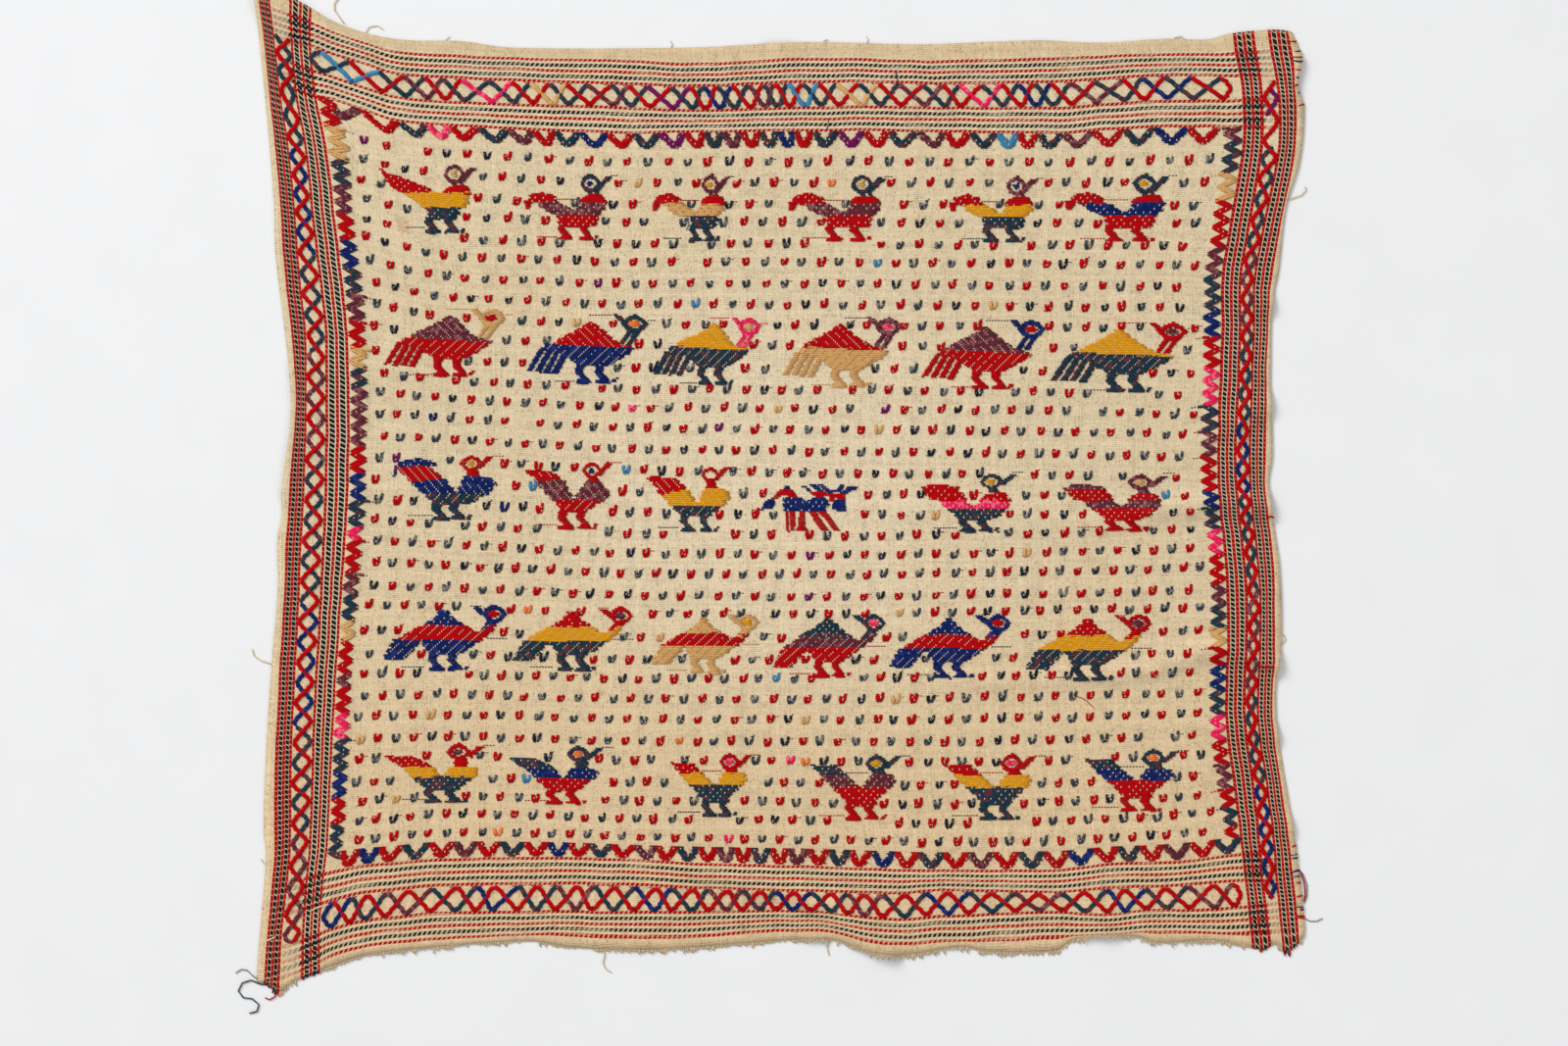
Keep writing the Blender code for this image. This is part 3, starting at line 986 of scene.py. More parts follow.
def make_wave(name, turns, v_high, v_low):
    """One wave between two heights, laid row on row as the birds are, whose yarn changes at each crest."""
    piece = YarnPiece(name)
    rng = np.random.default_rng(len(turns))
    u = turn_places(turns, v_high, v_low)
    crests = np.concatenate(([u[0] - 4.5], (u[1:] + u[:-1]) / 2, [u[-1] + 6.5]))
    for (_, colour), left, low, right in zip(turns, crests, u, crests[1:]):
        outline = np.array([
            (left - 0.2, v_high), (left + 2.3, v_high), (low - 0.3, v_low + 2.9), (low + 0.3, v_low + 2.9),
            (right - 2.3, v_high), (right + 0.2, v_high), (right + 0.1, v_high - 1.7),
            (low + 2.2, v_low + 0.5), (low + 1.1, v_low), (low - 1.1, v_low), (low - 2.2, v_low + 0.5),
            (left - 0.1, v_high - 1.7),
        ])
        fill_part(piece, [outline], "few", colour, rng)
    piece.build()


def make_borders():
    make_braid("left_braid", LEFT_BRAID, U["left_outer_b"], U["left_inner_a"], start=42, end=958)
    make_braid("right_braid", RIGHT_BRAID, U["right_outer_b"], U["right_inner_a"], start=82, end=918)
    make_teeth("left_column", LEFT_TEETH, U["left_inner_b"], U["left_tips"], 0.64)
    make_teeth("right_column", RIGHT_TEETH, U["right_inner_b"], U["right_tips"], 0.5)
    make_lattice("top_lattice", TOP_LATTICE, V["top_5"] - 1.1, V["top_6"] + 1.3)
    make_lattice("bottom_lattice", BOTTOM_LATTICE, V["bottom_5"] - 1.2, V["bottom_6"] + 1.3)
    make_wave("top_wave", TOP_WAVE, V["top_10"] - 0.5, V["top_10"] - 7.4)
    make_wave("bottom_wave", BOTTOM_WAVE, V["bottom_1"] + 7.8, V["bottom_1"] + 1.1)


# Birds

# Each kind of bird is charted on a sheet of its own: x from its tail, y up from its feet, with the
# sheet's width and height. A part has a role, which its bird gives a colour, outlines, where an overlap is a
# gap, and how the ground thread ties it down. Trails are dotted threads: from x to x at y, and a role.
Part = namedtuple("Part", "role outlines ties")
Kind = namedtuple("Kind", "width height parts trails")
Bird = namedtuple("Bird", "kind left right top foot colours")


def strip(role, x0, y0, x1, y1, width):
    half = width / 2
    outline = np.array([(x0 - half, y0), (x0 + half, y0), (x1 + half, y1), (x1 - half, y1)])
    return [Part(role, [outline], "none")]


def oval(x, y, reach_x, reach_y):
    corners = ((1, 0), (0.62, 0.62), (0, 1), (-0.62, 0.62), (-1, 0), (-0.62, -0.62), (0, -1), (0.62, -0.62))
    return np.array([(x + reach_x * a, y + reach_y * b) for a, b in corners])


def ring(role, x, y, outer_x, outer_y, inner_x, inner_y, eye_x, eye_y):
    """A ring for the head and an eye in it."""
    return [
        Part(role, [oval(x, y, outer_x, outer_y), oval(x, y, inner_x, inner_y)], "none"),
        Part("eye", [oval(x - 0.2, y, eye_x, eye_y)], "none"),
    ]


def legs(role, left, right, top):
    """Two bent legs with a lump for each foot."""
    left_leg = [(left - 2, top), (left + 2.4, top), (left + 0.8, 4.8), (left + 3.6, 1.8), (left + 4.8, 1.2),
                (left + 4.6, 0), (left - 2.2, 0), (left - 2.2, 1.3), (left, 2), (left - 2.6, 4.6)]
    right_leg = [(right - 2, top), (right + 2.2, top), (right + 0.8, 4.8), (right + 3.6, 1.7),
                 (right + 4.2, 0), (right - 2.4, 0.2), (right - 2.2, 1.4), (right, 1.9), (right - 2.6, 4.6)]
    parts = [Part(role, [np.array(leg)], "none") for leg in (left_leg, right_leg)]
    return parts + strip(role, right + 5.2, 0.3, right + 5.8, 2.2, 1.8)


def chart(text):
    """Parts from lines of text: a role, and then either a shape and its sizes or the ties and an outline."""
    shapes = {"strip": strip, "ring": ring, "legs": legs}
    parts = []
    for line in lines_of(text):
        role, way, numbers = line.split(maxsplit=2)
        if way in shapes:
            parts += shapes[way](role, *(float(number) for number in numbers.split()))
        else:
            parts.append(Part(role, [pairs(numbers)], way))
    return parts


WALKER_BACK = chart("""
    tail scatter 2.4 16.6, 3 19.6, 9 20.6, 14 19, 16 15.8, 5 15.8
    tail none 0.2 16.8, 4.2 18, 3.8 15, 2.8 13, 0.8 13
    body scatter 6 16.4, 15 16.4, 19 15, 22.3 12.8, 25 12.8, 27 16.4, 38.8 16.4, 38 13, 34.4 10.6,
        15.3 10.6, 10 12.8
""")
WALKER_HEAD = chart("""
    chest none 26 15.6, 26 17, 27.5 18.4, 31 19.6, 37 19.2, 38.8 16.6, 38.6 15.6
    head strip 29.2 21.4 32.6 18.8 1.7
    head strip 32.6 21.4 35.8 18.8 1.7
    head strip 33 20.4 39.8 27 3.5
    head ring 31.2 24.1 4.9 4.3 3 2.4 1.8 1.3
""")
WALKER_TRAILS = [(6.5, 16.5, 1.4, "lower"), (15.5, 25, 17.4, "tail"), (41, 44, 27.4, "head")]


def walker_front(lower_left, left_leg, right_leg, shift=0.0):
    """A walker's chest and head, which may be shifted, its lower body and its legs."""
    parts = []
    for part in WALKER_HEAD:
        parts.append(part._replace(outlines=[outline + (shift, 0) for outline in part.outlines]))
    lower = np.array([
        (lower_left, 11), (35.4, 11), (34.6, 7.4), (33, 5.8),
        (lower_left + 2.6, 5.8), (lower_left + 0.8, 8),
    ])
    return parts + [Part("lower", [lower], "scatter")] + legs("lower", left_leg, right_leg, 7)


WALKER = Kind(40, 28, WALKER_BACK + walker_front(15.3, 18.2, 28.6), WALKER_TRAILS)
# its lower half is small and stands further to the front
SLIM_WALKER = Kind(40, 28, WALKER_BACK + walker_front(20.2, 22, 29.6), WALKER_TRAILS)
LONG_WALKER = Kind(40, 28, chart("""
    tail scatter 0.4 26.6, 4 24.6, 9 23, 16 20.8, 23.5 17.6, 22 16.2, 13 15.8, 8 17.2, 3.4 21
    body scatter 9.6 17, 23 17, 39.6 17, 39.2 12.6, 37.6 10.6, 19 10.6, 16.6 13
""") + walker_front(20.6, 22.4, 31, 1.8), [(12, 20, 2.4, "lower")])

TURKEY_BODY = chart("""
    body right 6.4 14.6, 8.6 16.8, 11 17.4, 22 16.4, 34 16, 46.4 15.2, 44.5 13.2, 40.6 10.8, 35 7.6,
        22.6 7.6, 20.4 9.2, 18.2 10.6, 16.6 12.4, 13 13.4, 10 14.2
    body strip 7.2 15 1.4 5.2 2.7
    body strip 10.5 14.7 5 4.8 2.7
    body strip 13.8 14.3 8.6 4.5 2.7
    body strip 17.3 13.8 12.2 4.2 3
    body legs 23.6 32 8.4
    head strip 45 23 40.6 16.8 2.4
    head strip 48 22.8 43.8 16.4 2.6
    head strip 42.6 25.4 38.6 29.6 2.8
    head ring 46.4 25.6 5.8 4.3 3.3 2.1 2.9 1.5
""")
TURKEY_TRAILS = [(13, 21.5, 0.9, "body"), (27.5, 37.5, 29.4, "head"), (52.4, 55, 27, "head")]


def turkey_kind(start, peak):
    """A bird with four tail feathers and a hump, which starts at one place and peaks at another."""
    hump = np.array([
        (start, 17.4), (start + 2.6, 19.4), (0.5 * (start + peak), 22), (peak - 3, 24.6), (peak - 0.6, 26.9),
        (peak + 0.8, 26.9), (peak + 3.4, 24.8), (peak + 6.4, 21.8), (37.6, 18.4), (40.5, 17), (47, 15.2),
        (45, 14.9), (34, 15.6), (22, 16), (start, 16.8),
    ])
    return Kind(52, 30, [Part("hump", [hump], "left")] + TURKEY_BODY, TURKEY_TRAILS)


BANDED = Kind(52, 28.5, chart("""
    hump scatter 15.6 19, 18 20.6, 21.6 22.6, 24.2 26.3, 26.4 26.3, 29.4 22.6, 32.6 20.6, 34.6 19
    wide_hump scatter 11.5 17.6, 14 19.6, 19 22, 24.4 26.3, 26.4 26.3, 31 22, 36.8 17.6
    middle right 4.9 13, 9 15.6, 14 18.6, 17 19.4, 34 19.4, 36 18.6, 38 16.8, 41 17, 43 19.6, 47.5 19.4,
        45 16, 41 13
    lower right 4.6 13.2, 16.8 13.2, 14.4 11, 8.8 4.8, 0 4.8
    lower right 15.6 13.2, 41 13.2, 36 9.6, 31.5 7, 20 7, 18.4 9, 16.4 12
    head strip 46.4 21.6 43 17.4 4.8
    head strip 43.2 23.4 38.4 27.4 3.4
    lower legs 21.4 29.4 8
    head ring 46.6 24.2 5.4 4.3 3.3 2.2 2.8 1.7
"""), [(8, 18, 1.6, "lower"), (37, 42, 27.6, "head"), (44, 52, 13.8, "lower")])

FLIER_TRAILS = [(6, 16, 2.0, "lower"), (38.6, 43, 28.6, "head")]
TAIL_EDGE = chart("""
    tail_edge scatter 0.2 22.6, 1.4 25.4, 5 27, 9.5 27.8, 13.5 26.8, 17.4 25, 17 24, 2 24
    tail_edge strip 0.9 24 0.2 19.6 0.9
""")
FLIER = Kind(39, 29, TAIL_EDGE + chart("""
    tail left 0 26, 4 25.4, 13 25, 18.4 20.6, 7 20.4, 5 22.6
    body left 5.6 21, 18.5 21, 22 13.8, 23 13.8, 28 21, 33.5 21, 38.3 15.5, 35.3 12.4, 13.4 12.4
    chest none 27.6 20, 29 22, 33.8 22, 36.4 19
    lower right 13.4 12.8, 35.3 12.8, 31 10, 28 7.6, 17 7.6, 16 10
    head none 28.6 22.6, 32.4 22.6, 33.8 20.2, 28 20.2
    head strip 33 23.2 38 28.6 2.9
    lower legs 18 26 8
    head ring 30.2 25.2 4.6 3.9 2.7 2.1 1.5 1.4
"""), FLIER_TRAILS)

DEEP_BODY = chart("""
    tail left 0.2 23.8, 1.4 24.4, 12.6 24.4, 15.6 22.6, 19.6 18.6, 6.6 16.4, 4.4 20.4
    body left 6.8 17, 19.4 18.8, 23.4 13, 24.8 13, 27.4 19.6, 37 19.6, 40 16, 36.6 11.7, 11.6 11.7
    lower right 11.6 11.9, 36 11.9, 33 9.4, 30 7.2, 17 7.2, 14.6 9
""")
DEEP_HEAD = chart("""
    head none 28.6 22.6, 32.4 22.6, 34 19.2, 27.8 19.2
    head strip 33 23.2 38 28.6 2.9
    head ring 30.2 25.2 4.6 3.9 2.7 2.1 1.5 1.4
""")


def deep_flier(left_leg, right_leg):
    """Its tail is coloured far down, and its lower body is thin."""
    parts = TAIL_EDGE + DEEP_BODY + legs("lower", left_leg, right_leg, 8) + DEEP_HEAD
    return Kind(39, 29, parts, FLIER_TRAILS)


# its bands lie low, under a wide red chest
LOW_FLIER = Kind(39, 29, chart("""
    tail_edge scatter 0.2 21, 4.6 23.2, 10 23, 16.4 21.6, 16 20.2, 2 20.2
    tail scatter 0.4 20.6, 16 20.6, 19.4 16, 12 14.4, 4 15.8, 2.4 18.6
    body scatter 8.4 14.8, 18.6 15.4, 21.6 12.6, 23.4 12.6, 25 15.2, 37.4 15.2, 36.4 10.8, 10.8 10.8
    chest scatter 24.6 15, 27.4 18.2, 34.8 18.8, 37.6 15
    lower scatter 10.8 11, 35.2 11, 33.4 7.8, 28.6 5.8, 16.6 5.8, 14.8 8
    head none 28.4 21.4, 31.6 21.4, 33.2 18.6, 28.6 18.6
    head strip 33 22 38.8 27.4 3.2
    lower legs 18.4 26.2 7
    head ring 29.6 24.2 4.9 4.1 3 2.3 2 1.5
"""), FLIER_TRAILS)

SWIMMER_FRONT = chart("""
    head none 27.2 21.4, 31.6 21.4, 32.8 19.2, 26.4 19.2
    head strip 32 22 37.8 27.6 3.2
    lower legs 17.4 25.6 7
    head ring 28.5 24.4 5 4.3 2.9 2.1 2.3 1.5
""")
SWIMMER = Kind(38, 29, chart("""
    tail scatter 0 24.2, 4 23.6, 11 24, 15.8 19.2, 5 19.2
    body scatter 4.4 19.6, 15.5 19.6, 21.4 14, 9.7 14
    body scatter 22.4 14, 26 19.6, 35 19.6, 36.8 17, 34.4 14
    lower scatter 9.5 14.4, 34.4 14.4, 28.8 9, 27.6 6.3, 16.7 6.3, 14 10
""") + SWIMMER_FRONT, [(4, 15, 2.0, "lower"), (15.5, 25, 20.4, "tail"), (38.6, 42.5, 27.6, "head")])
LOW_SWIMMER = Kind(38, 29, chart("""
    tail scatter 0 22.6, 4 22.8, 10 22.6, 15 20, 19 17.4, 17 16.8, 6.6 17.2
    body scatter 7 17.4, 18.6 17.4, 21.6 12.2, 11 12.2
    body scatter 22.8 12.2, 25.4 17.6, 35.4 17.6, 36.4 15, 34.8 12.2
    lower scatter 10.4 12.4, 34.6 12.4, 29.6 8, 28 6.3, 16.7 6.3, 14.4 8.6
    head none 27.4 20, 31.4 20, 32.4 17.4, 26.8 17.4
""") + SWIMMER_FRONT, [(7, 16, 1.8, "lower"), (38.6, 42.5, 27.6, "head")])

# an odd small figure with a striped skirt that stands in for one bird of the third row
STRANGER = Kind(41, 21, chart("""
    body scatter 9.8 15.2, 16 15.2, 19.5 13.2, 22.7 14.8, 27.5 14.8, 29.6 12.6, 27.6 9.6, 10 9.6
    body none 31 13.6, 36.2 14, 36.6 9, 33.2 9, 30.4 10.6
    body none 0.4 9.8, 1.4 12.6, 4.6 14.8, 6.6 13.2, 5 9.8
    body none 9.6 18.4, 10.4 20.2, 12 20.2, 13 18.4
    body none 15.6 18.8, 18 20, 19.6 20, 22.4 17.4, 20.6 17.2, 18.6 18.8
    body strip 22 20.8 26.2 17.2 2.6
    body none 23.8 20.9, 26 21, 30 17.8, 32.4 18.2, 34.2 20.2, 36.4 20.2, 33.4 17.2, 28.4 16.8
    body none 33.8 17, 38 20.2, 41.3 19.6, 41.2 18.2, 39 18, 36.6 16.2
    tail none 5 14.8, 8.2 18.6, 13.6 18.8, 16.4 15, 13.4 15.2, 9.4 15.8, 6.4 13.8
    tail none 20.6 17.6, 26.2 17, 36 16.6, 36.4 14, 33.4 14, 30 16, 27.5 15.2, 24 14.6
    tail strip 30.4 15.2 30.6 13.2 2
    tail strip 11 9.7 11 0.4 1
    tail strip 13.6 9.7 13.6 0.6 2.2
    tail none 16.2 9.7, 19 9.7, 19.2 2.6, 20.8 0.6, 15 0.6, 16.4 2.6
    tail strip 21.6 9.7 27.6 0.8 3.6
    tail strip 25.8 9.7 32.8 0.8 3.2
"""), [])


def walker(left, right, top, foot, body, lower, head, eye, kind=WALKER):
    colours = {"tail": "red", "chest": "red", "body": body, "lower": lower, "head": head, "eye": eye}
    return Bird(kind, left, right, top, foot, colours)


def turkey(left, right, top, foot, hump, body, head, eye, start, peak):
    colours = {"hump": hump, "body": body, "head": head, "eye": eye}
    return Bird(turkey_kind(start, peak), left, right, top, foot, colours)


def banded(left, right, top, foot, hump, middle, lower, head, eye, hump_role="hump"):
    colours = {hump_role: hump, "middle": middle, "lower": lower, "head": head, "eye": eye}
    return Bird(BANDED, left, right, top, foot, colours)


def flier(left, right, top, foot, tail, body, lower, head, eye, tail_edge=None, chest=None, kind=FLIER):
    colours = {"tail": tail, "body": body, "lower": lower, "head": head, "eye": eye}
    colours.update({"tail_edge": tail_edge, "chest": chest})
    return Bird(kind, left, right, top, foot, colours)


# Where each bird stands, in the picture's pixels, and its colours
BIRD_ROWS = [
    [
        walker(387, 480, 168, 238, "gold", "teal", "purple", "tan", kind=LONG_WALKER),
        walker(534.5, 621.6, 177.7, 245, "purple", "red", "teal", "blue"),
        walker(665.3, 741.8, 178.7, 246.6, "tan", "teal", "purple", "gold", SLIM_WALKER),
        walker(804, 901, 179, 246, "purple", "red", "teal", "tan"),
        walker(968, 1056.5, 180.6, 246.9, "gold", "teal", "purple", "blue"),
        walker(1086.2, 1191, 177.7, 246.9, "blue", "red", "teal", "gold"),
    ],
    [
        turkey(391, 515, 314, 384, "purple", "red", "tan", "red", 11.8, 28.2),
        turkey(536.4, 660.8, 320, 391, "red", "blue", "teal", "orange", 11.8, 27.6),
        turkey(667.2, 776.3, 323, 392.8, "gold", "teal", "pink", "tan", 10.8, 28.8),
        turkey(798.3, 919.8, 323, 394.7, "red", "tan", "purple", "pink", 8.8, 25.2),
        turkey(939.9, 1066.4, 325.7, 396.9, "purple", "red", "blue", "red", 10.3, 26.7),
        turkey(1071.4, 1211.7, 328, 400, "gold", "teal", "red", "purple", 11, 26),
    ],
    [
        flier(401.6, 504, 464.4, 530.4, "red", "blue", "teal", "red", "gold", "blue",
              kind=deep_flier(17.2, 23.8)),
        flier(532, 625, 471, 540, "red", "purple", "red", "red", "blue"),
        flier(659.6, 743.7, 475.8, 542.8, "red", "gold", "teal", "red", None, kind=deep_flier(18.4, 27.4)),
        Bird(STRANGER, 776, 874, 493, 543, {"body": "blue", "tail": "red"}),
        flier(938.9, 1034.8, 481, 542.9, "red", "pink", "teal", "teal", "gold", "red", "red", LOW_FLIER),
        flier(1084.2, 1189, 482, 541.9, "red", "purple", "red", "purple", "tan", "purple", "red", LOW_FLIER),
    ],
    [
        banded(391, 517.3, 616.3, 684.2, "blue", "red", "blue", "blue", "red"),
        banded(523, 646.5, 618.2, 684.2, "red", "gold", "teal", "red", "purple"),
        banded(664.3, 774.4, 625.8, 687, "tan", "red", "tan", "tan", "gold"),
        banded(788.7, 903.5, 625.8, 690.9, "teal", "purple", "red", "teal", "pink", "wide_hump"),
        banded(907.3, 1031.8, 625.7, 692, "blue", "red", "blue", "blue", "red"),
        banded(1046.6, 1175.2, 625.7, 694.9, "red", "gold", "teal", "red", "purple"),
    ],
    [
        flier(393, 492.4, 757.5, 819.4, "red", "gold", "teal", "red", "purple", kind=LOW_SWIMMER),
        flier(519.2, 613.9, 759.5, 820.4, "teal", "blue", "red", "teal", "orange", kind=LOW_SWIMMER),
        flier(683.5, 764.8, 767, 833, "red", "gold", "teal", "red", "pink", kind=SWIMMER),
        flier(827, 917, 768, 836.8, "teal", "purple", "red", "teal", "gold", kind=SWIMMER),
        flier(962.6, 1055.5, 767.7, 836.9, "red", "gold", "teal", "red", "pink", kind=SWIMMER),
        flier(1105, 1200.9, 762.8, 828, "teal", "blue", "red", "teal", "orange", kind=SWIMMER),
    ],
]


def crossings(outlines, v):
    """Where a thread at height v enters and leaves the outlines, in order."""
    places = []
    for outline in outlines:
        for (u0, v0), (u1, v1) in zip(outline, np.roll(outline, -1, axis=0)):
            if (v0 <= v) != (v1 <= v):
                places.append(u0 + (u1 - u0) * (v - v0) / (v1 - v0))
    return sorted(places)


def fill_part(piece, outlines, ties, colour, rng):
    """Lays threads in a part, row on row, and gives back where each lies.

    They end at a warp. In a part with ties, every third row falls short, as a notch.
    """
    low = min(outline[:, 1].min() for outline in outlines)
    high = max(outline[:, 1].max() for outline in outlines)
    notch = 0.12 if ties == "few" else 0.42
    spans = []
    for number in range(math.floor(low / WEFT_PITCH), math.ceil(high / WEFT_PITCH) + 1):
        v = (number + 0.5) * WEFT_PITCH
        further = (0.0, 0.0)
        if ties != "none":
            further = (notch if number % 3 else -notch) + rng.uniform(-0.2, 0.2, 2)
        places = crossings(outlines, v)
        for start, end in zip(places[::2], places[1::2]):
            start = round(start / WARP_PITCH) * WARP_PITCH - further[0]
            end = max(round(end / WARP_PITCH) * WARP_PITCH + further[1], start + 1.3)
            lay_thread(piece, start, end, v, colour, rng)
            tie_thread(piece, ties, start, end, number, colour, rng)
            spans.append((v, start, end))
    return spans


def lay_thread(piece, start, end, v, colour, rng):
    start += rng.uniform(-0.12, 0.12)
    end += rng.uniform(-0.12, 0.12)
    count = max(2, round((end - start) / 2.6) + 1)
    u = np.linspace(start, end, count)
    lift = 0.2 + rng.uniform(-0.04, 0.04, count)
    wander = v + rng.uniform(-0.05, 0.05, count)
    piece.add(np.column_stack((u, wander, lift)), PICK_WIDTH, PICK_HEIGHT, colour, end_size=0.75)


def tie_places(start, end, shift, pitch):
    """Places at a pitch, well inside a thread's ends."""
    first = math.ceil((start + 0.7 - shift) / pitch)
    last = math.floor((end - 0.7 - shift) / pitch)
    return [k * pitch + shift for k in range(first, last + 1)]


def tie_thread(piece, ties, start, end, number, colour, rng):
    """Dots of the ground thread over a row: on lines that slant left or right, or scattered on odd rows."""
    # on tan the dots are dark brown, painted shade between its threads, not the cream of the ground thread
    tie_colour = "painted_tie_shade" if colour == "tan" else "cream"
    v = (number + 0.5) * WEFT_PITCH
    if ties in ("left", "right"):
        shift = (0.8 if ties == "right" else -0.8) * number
        for u in tie_places(start, end, shift, SLANTED_TIE_PITCH):
            if rng.random() < 0.8:
                tie_down(piece, u, v, 0.53, 0.28, tie_colour)
    elif ties in ("scatter", "few") and number % 2:
        shift = SCATTERED_TIE_PITCH / 2 * ((number // 2) % 2)
        for u in tie_places(start, end, shift, SCATTERED_TIE_PITCH):
            if rng.random() < (0.78 if ties == "scatter" else 0.58):
                tie_down(piece, u + rng.uniform(-0.3, 0.3), v, 0.54, 0.36, tie_colour)


def on_weave(bird, points):
    """Points of a kind's chart as weave places, for one bird."""
    x = bird.left + points[:, 0] / bird.kind.width * (bird.right - bird.left)
    y = bird.foot - points[:, 1] / bird.kind.height * (bird.foot - bird.top)
    return np.column_stack(weave_place(x, y))


def make_birds():
    """Five rows of birds. Gives back where their threads lie, so that the seed marks keep clear."""
    rng = np.random.default_rng(11)
    spans = []
    for number, row in enumerate(BIRD_ROWS, start=1):
        piece = YarnPiece(f"bird_row_{number}")
        for bird in row:
            for part in bird.kind.parts:
                colour = bird.colours.get(part.role)
                if colour:
                    # no two birds are quite alike
                    outlines = [on_weave(bird, outline) for outline in part.outlines]
                    outlines = [outline + rng.uniform(-0.22, 0.22, outline.shape) for outline in outlines]
                    spans += fill_part(piece, outlines, part.ties, colour, rng)
            for start, end, y, role in bird.kind.trails:
                colour = bird.colours.get(role)
                if colour:
                    dots = np.arange(start, end, 1.25)
                    for u, v in on_weave(bird, np.column_stack((dots, np.full(len(dots), y)))):
                        add_dot(piece, u, v, v + 0.1, 0.14, 0.9, 0.6, colour)
        piece.build()
    return np.array(spans)


# Seed marks

SEED_ROW_PIXELS = [
    165, 186, 208, 226.5, 248.5, 267, 289, 310.5, 331, 352, 376, 398, 417, 438, 460.5, 482, 504, 525, 546,
    566, 586, 608, 626, 650, 673, 692, 713, 734, 756.5, 776, 799, 818, 837, 856,
]
SEED_RARE = ("blue", "sky", "sky", "tan", "pink", "orange", "magenta", "tan")


def add_seed(piece, rng, u, v, colour, width):
    """One seed mark: two upright stitches that meet at the foot, the right one mostly the taller."""
    size = rng.uniform(0.86, 1.1)
    lean = rng.uniform(-0.3, 0.5)
    gap = (0.8 if width == RED_SEED_WIDTH else 0.9) * size * rng.uniform(0.92, 1.2)
    left_top = rng.uniform(0.9, 1.9) * size
    right_top = rng.uniform(1.3, 2.5) * size
    left = [
        (u - 1.2 * gap + lean, v + left_top, 0.14),
        (u - 1.12 * gap + 0.4 * lean, v - 0.2 * size, 0.26),
        (u - 0.62 * gap, v - 1.95 * size, 0.14),
    ]
    right = [
        (u + 1.45 * gap + lean, v + right_top, 0.14),
        (u + 1.05 * gap + 0.4 * lean, v + 0.1 * size, 0.26),
        (u + 0.3 * gap, v - 1.75 * size, 0.14),
    ]
    piece.add(left, width * rng.uniform(0.95, 1.12), 0.85, colour, end_size=0.78)
    piece.add(right, width * rng.uniform(0.9, 1.05), 0.85, colour, end_size=0.7)
    kind = rng.random()
    if kind < 0.16:
        end = (u + 2.3 * size, v + right_top + rng.uniform(-0.2, 0.7), 0.1)
        piece.add(((u + 1.2 * gap, v + 0.6 * right_top, 0.18), end), 0.8, 0.6, colour)
    elif kind < 0.26:
        for k in range(2):
            add_dot(piece, u + 2.0 + 1.1 * k, v + 0.9, v + 1.1, 0.12, 0.75, 0.55, colour)
    elif kind < 0.36:
        end = (u - 2.1 * size, v - 1.6 * size + rng.uniform(-0.3, 0.4), 0.1)
        piece.add(((u - 0.4, v - 1.3, 0.15), end), 0.9, 0.6, colour)
    for _ in range(2):
        tie_down(piece, u + rng.uniform(-0.9, 0.9) * gap, v + rng.uniform(-1.0, 1.3), 0.54, size=0.26)


def make_seeds(spans):
    """The field of seed marks, red and dark in turn both ways, left out where a bird is."""

    def taken(u, v):
        near = np.abs(spans[:, 0] - v) < 1.7
        return bool(np.any(near & (spans[:, 1] - 1.1 < u) & (u < spans[:, 2] + 1.1)))

    rng = np.random.default_rng(7)
    red = YarnPiece("seed_marks_red")
    dark = YarnPiece("seed_marks_dark")
    other = YarnPiece("seed_marks_other")
    for row, pixel in enumerate(SEED_ROW_PIXELS):
        v = weave_v(840, pixel)
        # the marks stand closer in the lower rows
        apart = 8.5 - 1.2 * row / (len(SEED_ROW_PIXELS) - 1) + rng.uniform(-0.2, 0.2)
        u = U["left_tips"] + rng.uniform(3.0, 7.2)
        column = rng.integers(2)
        while u < U["right_tips"] - 3.2:
            place_u = u + rng.uniform(-0.5, 0.5)
            place_v = v + rng.uniform(-0.4, 0.4)
            if not taken(place_u, place_v) and rng.random() > 0.01:
                if rng.random() < 0.03:
                    colour = SEED_RARE[rng.integers(len(SEED_RARE))]
                    add_seed(other, rng, place_u, place_v, colour, RARE_SEED_WIDTH)
                elif column % 2 == 0:
                    add_seed(red, rng, place_u, place_v, "red", RED_SEED_WIDTH)
                else:
                    colour = "slate" if rng.random() < 0.7 else "navy"
                    add_seed(dark, rng, place_u, place_v, colour, DARK_SEED_WIDTH)
            column += 1
            u += apart
    for piece in (red, dark, other):
        piece.build()


# Frayed edge and loose threads

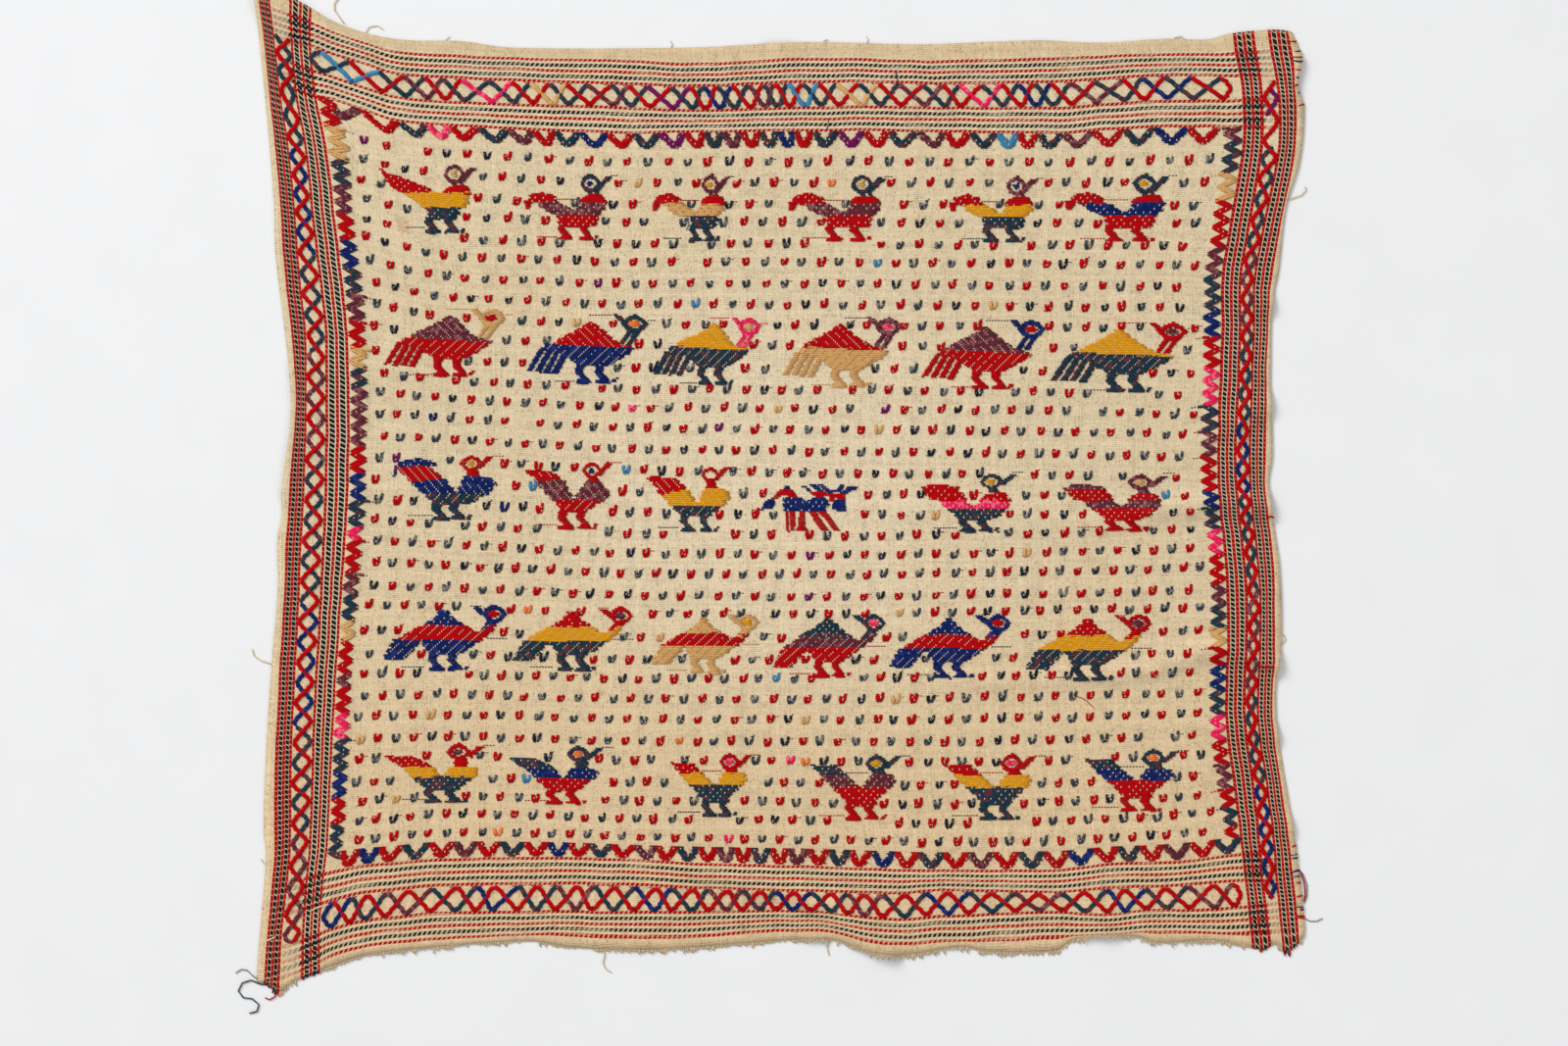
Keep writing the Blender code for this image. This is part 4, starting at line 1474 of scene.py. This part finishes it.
# Threads that lie loose on the surface round the cloth, as yarn, width in mm, and places in picture pixels
LOOSE_ON_SURFACE = """
    cream 0.5: 351 24, 346 17, 341 10, 341 3, 345 -2
    cream 0.4: 372 34, 377 27, 385 26, 391 30
    cream 0.35: 453 45, 455 40, 459 37
    cream 0.35: 684 50, 686 45, 684 41
    cream 0.35: 838 47, 841 41, 845 40
    cream 0.35: 884 45, 886 40, 884 37
    cream 0.4: 1195 43, 1199 38, 1206 37, 1209 40
    cream 0.45: 1312 205, 1320 202, 1328 199, 1333 194, 1332 190
    cream 0.5: 285 679, 276 677, 266 674, 259 669, 257 662
    cream 0.45: 280 884, 273 883, 268 880, 266 876
    cream 0.5: 617 960, 616 966, 617 975, 615 982, 618 989, 624 992
    cream 0.45: 847 954, 847 960, 844 967, 846 975
    cream 0.4: 1308 658, 1312 653, 1311 648, 1305 647
    navy 0.6: 281 1000, 274 1005, 265 1004, 256 1000, 247 1003, 243 1011, 248 1018, 257 1019, 264 1025,
        262 1032, 254 1034
    grey 0.45: 272 999, 264 1000, 258 996, 252 990, 246 989, 240 993
    red 0.6: 283 1012, 280 1017, 275 1020, 270 1018
    red 0.6: 1322 884, 1328 891, 1331 901, 1332 912, 1331 920
    grey 0.4: 1323 884, 1330 892, 1334 903, 1334 914, 1331 922
    grey 0.4: 1331 937, 1337 940, 1344 940, 1350 937
"""
# Stray picks that lie on the cloth
LOOSE_ON_CLOTH = """
    cream 0.7: 318 929, 323 926, 329 924
    cream 0.7: 271 960, 276 958, 281 956
    navy 0.45: 917 88, 916 82, 914 77, 915 72
    navy 0.35: 843 133, 846 126, 844 120
    red 0.8: 1300 528, 1296 527, 1292 528
    red 0.8: 1282 679, 1288 680, 1298 680
    slate 0.4: 697 216, 702 222, 703 229, 700 235
    red 0.35: 1116 722, 1110 716, 1104 712, 1098 710
"""
# Ends of yarn that turn over the right edge: picture pixel y and yarn
WRAPPED_ENDS = coloured_places("""
    44 red, 49 navy, 56 red, 63 teal, 71 red, 80 navy, 88 red, 97 teal, 107 red, 865 red, 872 slate,
    878 navy, 886 blue, 894 slate, 902 red, 916 red, 924 slate, 931 magenta, 935 red, 941 red
""")


STRIPE_GROUPS = (
    ("left_outer_a", "left_outer_b"), ("left_inner_a", "left_inner_b"),
    ("right_inner_b", "right_inner_a"), ("right_outer_b", "right_outer_a"),
)


def warp_colour(u):
    """The yarn of the warp at a place: red and navy in turn in the stripe groups."""
    for first, last in STRIPE_GROUPS:
        if U[first] - 0.6 < u < U[last] + 0.6:
            return ("red", "navy")[round((u - U[first]) / (U[last] - U[first]) * 4) % 2]
    return "hem"


def make_frayed_ends():
    """Short warp ends along the raw bottom edge, in uneven tufts."""
    piece = YarnPiece("frayed_ends")
    rng = np.random.default_rng(3)
    edge = V["bottom_edge"]
    tuft = 0.5
    for u in np.arange(U["left_edge"] + 0.5, U["right_edge"] - 0.3, 0.9):
        if rng.random() < 0.3:
            tuft = rng.uniform(0.4, 2.7)
        length = tuft * rng.uniform(0.5, 1.2)
        lean = rng.uniform(-0.35, 0.35) * length
        middle = (u + 0.3 * lean, edge - 0.5 * length, -0.25)
        path = [(u, edge + 0.8, -0.12), middle, (u + lean, edge - length, -0.35)]
        piece.add(path, rng.uniform(0.7, 1.0), 0.4, warp_colour(u), sides=4)
    piece.build()


def loose_threads(text):
    """From each line of a text: a yarn, its width, and the pixels that it passes."""
    for line in lines_of(text):
        about, places = line.split(":")
        colour, width = about.split()
        x, y = pairs(places).T
        yield colour, float(width), x, y


def make_loose_threads():
    """Stray thread ends on and round the cloth, and the yarn that turns over its right edge."""
    piece = YarnPiece("loose_threads")
    for colour, width, x, y in loose_threads(LOOSE_ON_SURFACE):
        path = np.column_stack((plan_x(x), plan_y(y), np.full(len(x), width / 2 + 0.02)))
        piece.add(densify(path, 3), width, width, colour, on_cloth=False, end_size=0.7)
    for colour, width, x, y in loose_threads(LOOSE_ON_CLOTH):
        path = densify(np.column_stack(weave_place(x, y)), 3)
        piece.add(with_lift(path, width / 2), width, width, colour, end_size=0.7)
    rng = np.random.default_rng(5)
    edge = U["right_edge"]
    for pixel, colour in WRAPPED_ENDS:
        v = weave_v(1310, pixel) + rng.uniform(-1.2, 1.2)
        start = (edge - rng.uniform(0.8, 3.2), v + rng.uniform(-0.8, 0.8), 0.18)
        path = [start, (edge - 0.6, v, 0.24), (edge - 0.1, v, 0.14), (edge + 0.35, v + 0.2, -0.2)]
        piece.add(path, rng.uniform(0.6, 0.95), 0.6, colour)
    piece.build()


# The stage


def make_floor():
    bpy.ops.mesh.primitive_plane_add(size=6.0, location=(0.0, 0.0, -0.0002))
    floor = bpy.context.object
    floor.name = "floor"
    floor.data.materials.append(floor_material())


def make_lights():
    world = bpy.data.worlds.new("soft_room")
    bpy.context.scene.world = world
    world.use_nodes = True
    background = world.node_tree.nodes["Background"]
    background.inputs["Color"].default_value = (1.0, 0.99, 0.97, 1.0)
    background.inputs["Strength"].default_value = 0.49
    key = ("key", (-2.5, 2.4, 2.6), 2.1, 160.0)
    fill = ("fill", (1.3, -0.9, 1.7), 1.6, 11.0)
    for name, place, size, power in (key, fill):
        data = bpy.data.lights.new(name, "AREA")
        data.energy = power
        data.size = size
        light = bpy.data.objects.new(name, data)
        light.location = place
        x, y, z = place
        light.rotation_euler = (math.atan2(math.hypot(x, y), z), 0.0, math.atan2(-y, -x) - math.pi / 2)
        bpy.context.scene.collection.objects.link(light)


def make_camera():
    """Straight above the middle of the picture, so that it shows the same stretch of the surface."""
    data = bpy.data.cameras.new("camera")
    data.lens = 85.0
    data.sensor_width = 36.0
    camera = bpy.data.objects.new("camera", data)
    distance = PICTURE_WIDTH * MM_PER_PIXEL * data.lens / data.sensor_width
    middle = (float(plan_x(PICTURE_WIDTH / 2)), float(plan_y(PICTURE_HEIGHT / 2)), distance + 1.0)
    camera.location = tuple(place * MM for place in middle)
    bpy.context.scene.collection.objects.link(camera)
    bpy.context.scene.camera = camera


def main():
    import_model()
    bpy.context.scene.view_settings.view_transform = "Standard"
    make_camera()
    make_lights()
    make_floor()
    make_cloth()
    make_borders()
    make_seeds(make_birds())
    make_frayed_ends()
    make_loose_threads()


main()
